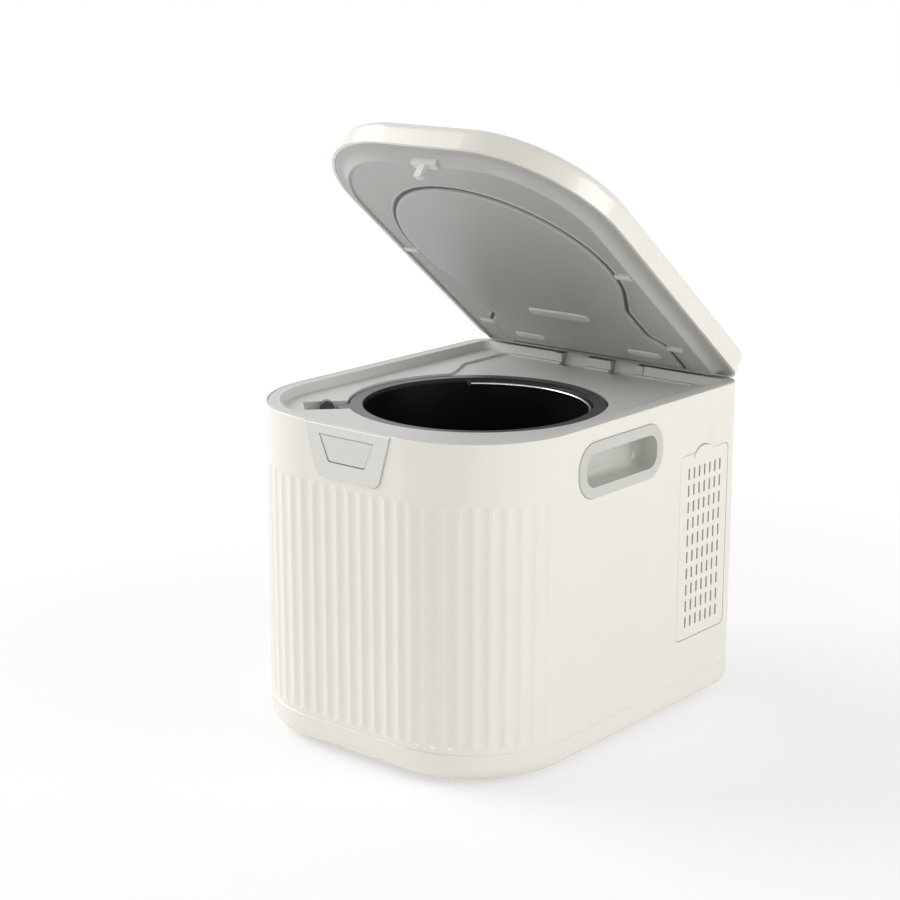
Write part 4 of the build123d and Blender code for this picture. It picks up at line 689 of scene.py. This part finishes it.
def pad(name, x, y, length, width, high):
    """A low mound over a rounded bar: ring scale s falls from 1 to 0.3 while the height rises as
    1 - s to the sixth power. The footprint is a superellipse of power 5."""
    t = np.linspace(0, 2 * math.pi, PAD_POINTS, endpoint=False)
    c, s = np.cos(t), np.sin(t)
    foot = np.stack([np.sign(v) * np.abs(v) ** PAD_POWER for v in (c, s)], 1)
    rings = []
    for scale in PAD_SCALES:
        shrink = (1 - scale) * width / 2
        loop = foot * np.array([length / 2 - shrink, width / 2 - shrink]) + (x, y)
        rings.append(at_height(loop, cover_z + PAD_SUNK - high * (1 - scale**6)))
    # The pads take the clips' paler grey, not the plate's: a painted highlight
    return ring_form(name, swing_open(np.stack(rings)), pale_clip_grey_and_pad_highlight, "lid")


for side, x, y, length, width, high in PADS:
    pad("lid_pad_" + side, x, y, length, width, high)
print("pads", [row[0] for row in PADS])

# %% [markdown]
# ## The floor
# A product stands on a sheet of paper so wide that its far edge is never seen. To be white with
# no edge to it, the sheet glows where it is seen, straight or in a reflection, and more so with
# distance. Near the machine half of it is still plain matt paper, which takes the shadow. Rays
# that only carry light meet matt paper everywhere, so the glow doesn't light the machine.

# %% Floor
FLOOR_HALF = 6.0                # metres
PAPER_WAVES = 3.0               # waves in a metre of the paper's tone
GLOW = 1.08                     # slightly over white, so that no noise is left in it
GLOW_FROM, GLOW_TO = 0.25, 1.2  # metres from the middle where the glow starts to grow and ends
GLOW_NEAR = 0.5                 # the glow's share next to the machine
WHITE = rgb(255, 255, 255)


def pale_floor():
    """A square sheet at Z = 0. The share of its glow is GLOW_NEAR up to GLOW_FROM and rises to 1
    at GLOW_TO on an S-shaped curve."""
    mesh = bpy.data.meshes.new("floor")
    corners = [(FLOOR_HALF * x, FLOOR_HALF * y, 0) for x, y in ((-1, -1), (1, -1), (1, 1), (-1, 1))]
    mesh.from_pydata(corners, [], [(0, 1, 2, 3)])
    sheet = bpy.data.objects.new("floor", mesh)
    bpy.context.scene.collection.objects.link(sheet)
    g = new_finish("pale_floor")
    base = g.mix(g.noise(PAPER_WAVES), rgb(250, 250, 250), rgb(254, 254, 254))
    matt = g.node("ShaderNodeBsdfPrincipled", {}, {"Base Color": base, "Roughness": 0.6})
    glow = g.node("ShaderNodeEmission", {}, {"Color": WHITE, "Strength": GLOW})
    away = g.node("ShaderNodeVectorMath", {"operation": "LENGTH"}, {0: g.place()}, output="Value")
    reach = {"Value": away, "From Min": GLOW_FROM, "From Max": GLOW_TO,
             "To Min": GLOW_NEAR, "To Max": 1.0}
    share = g.node("ShaderNodeMapRange", {"interpolation_type": "SMOOTHSTEP"}, reach)
    both = g.node("ShaderNodeMixShader", {}, {0: g.viewed() * share, 1: matt, 2: glow})
    g.node("ShaderNodeOutputMaterial", {}, {"Surface": both})
    mesh.materials.append(g.owner)
    sheet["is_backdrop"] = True
    return sheet


floor = pale_floor()
print("floor", tuple(round(v, 1) for v in floor.dimensions))

# %% [markdown]
# ## The lamps
# Light comes as in a product studio: one broad soft box high on the left, a second on the right
# and a little behind, and a weak, low one in front that opens the shadows of the fluted face.
# Large area lamps are used because small ones would put hard spots on the glossy cream.

# %% Three soft boxes
LOOK_AT = (0.0, 0.0, 0.18)      # the point that every lamp faces, in metres
LAMPS = [   # name, place in metres, width and height in metres, watts
    ("key_left", (-2.5, -0.8, 1.7), (2.0, 2.0), 62.0),
    ("side_right", (2.4, 0.6, 0.9), (1.8, 1.4), 31.0),
    ("front_low", (0.3, -2.7, 0.3), (1.6, 0.5), 12.0)]


def soft_box(name, place, size, watts):
    """A rectangular area lamp at place that faces LOOK_AT. A lamp shines down its own -Z, so it
    is tilted by the angle whose tangent is its level distance over its height, then turned."""
    lamp = bpy.data.lights.new(name, "AREA")
    lamp.shape = "RECTANGLE"
    lamp.size, lamp.size_y = size
    lamp.energy = watts
    thing = bpy.data.objects.new(name, lamp)
    thing.location = place
    way = np.array(place) - np.array(LOOK_AT)
    level = math.hypot(way[0], way[1])
    turn = math.atan2(way[1], way[0]) + math.pi / 2
    thing.rotation_euler = (math.atan2(level, way[2]), 0.0, turn)
    bpy.context.scene.collection.objects.link(thing)
    return thing


for lamp_row in LAMPS:
    soft_box(*lamp_row)

# %% [markdown]
# ## The room
# Behind the floor's edge there is only the world. It has two strengths: white where it is seen,
# straight or in a reflection, and a weaker one for the even light that it throws on the machine.
# Raising one strength for both would wash the cream out before the background turned white.

# %% World
WORLD_LIGHT = 0.38
world = bpy.data.worlds.new("studio")
room = Graph(world)
lit = room.node("ShaderNodeBackground", {}, {"Color": WHITE, "Strength": WORLD_LIGHT})
seen = room.node("ShaderNodeBackground", {}, {"Color": WHITE, "Strength": 1.0})
both = room.node("ShaderNodeMixShader", {}, {0: room.viewed(), 1: lit, 2: seen})
room.node("ShaderNodeOutputWorld", {}, {"Surface": both})
bpy.context.scene.world = world
print("world", world.name, "light", WORLD_LIGHT)

# %% [markdown]
# ## The camera
# The camera stands 1.6 m away, turned 40 degrees to the right of the front and looking down 14.6
# degrees, as a person sees a machine on a counter. A long lens keeps the box's edges nearly
# parallel. Its focal length is given in pixels of the picture, because that is what a camera
# match works out, and is turned into millimetres on the sensor.

# %% Camera
CAMERA_TURN = 40.01
CAMERA_TILT = 14.56
CAMERA_PLACE = (0.99204, -1.22673, 0.62286)     # metres from the floor under the body's middle
FOCAL_PIXELS = 2061.2
FRAME_PIXELS = 900
SENSOR_MM = 36.0
camera_data = bpy.data.cameras.new("camera")
camera_data.sensor_width = SENSOR_MM
camera_data.lens = FOCAL_PIXELS / FRAME_PIXELS * SENSOR_MM
camera = bpy.data.objects.new("camera", camera_data)
camera.location = (CAMERA_PLACE[0], CAMERA_PLACE[1] + body_mid_y, CAMERA_PLACE[2])
camera.rotation_euler = (math.radians(90 - CAMERA_TILT), 0.0, math.radians(CAMERA_TURN))
bpy.context.scene.collection.objects.link(camera)
bpy.context.scene.camera = camera
bpy.context.scene.view_settings.view_transform = "Standard"
print("lens", round(camera_data.lens, 2), "mm")

# %% [markdown] ## Sizes, and the end The box round every shown piece but the floor is printed at
# the end. The machine's real size is the CAD's.
# Sizes, and the end The new forms have to keep inside the frame's box, since the machine's real
# size is the CAD's.

# %% Sizes, then finish
low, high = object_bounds()
print("visual box", [[round(v, 4) for v in corner] for corner in (low, high)])
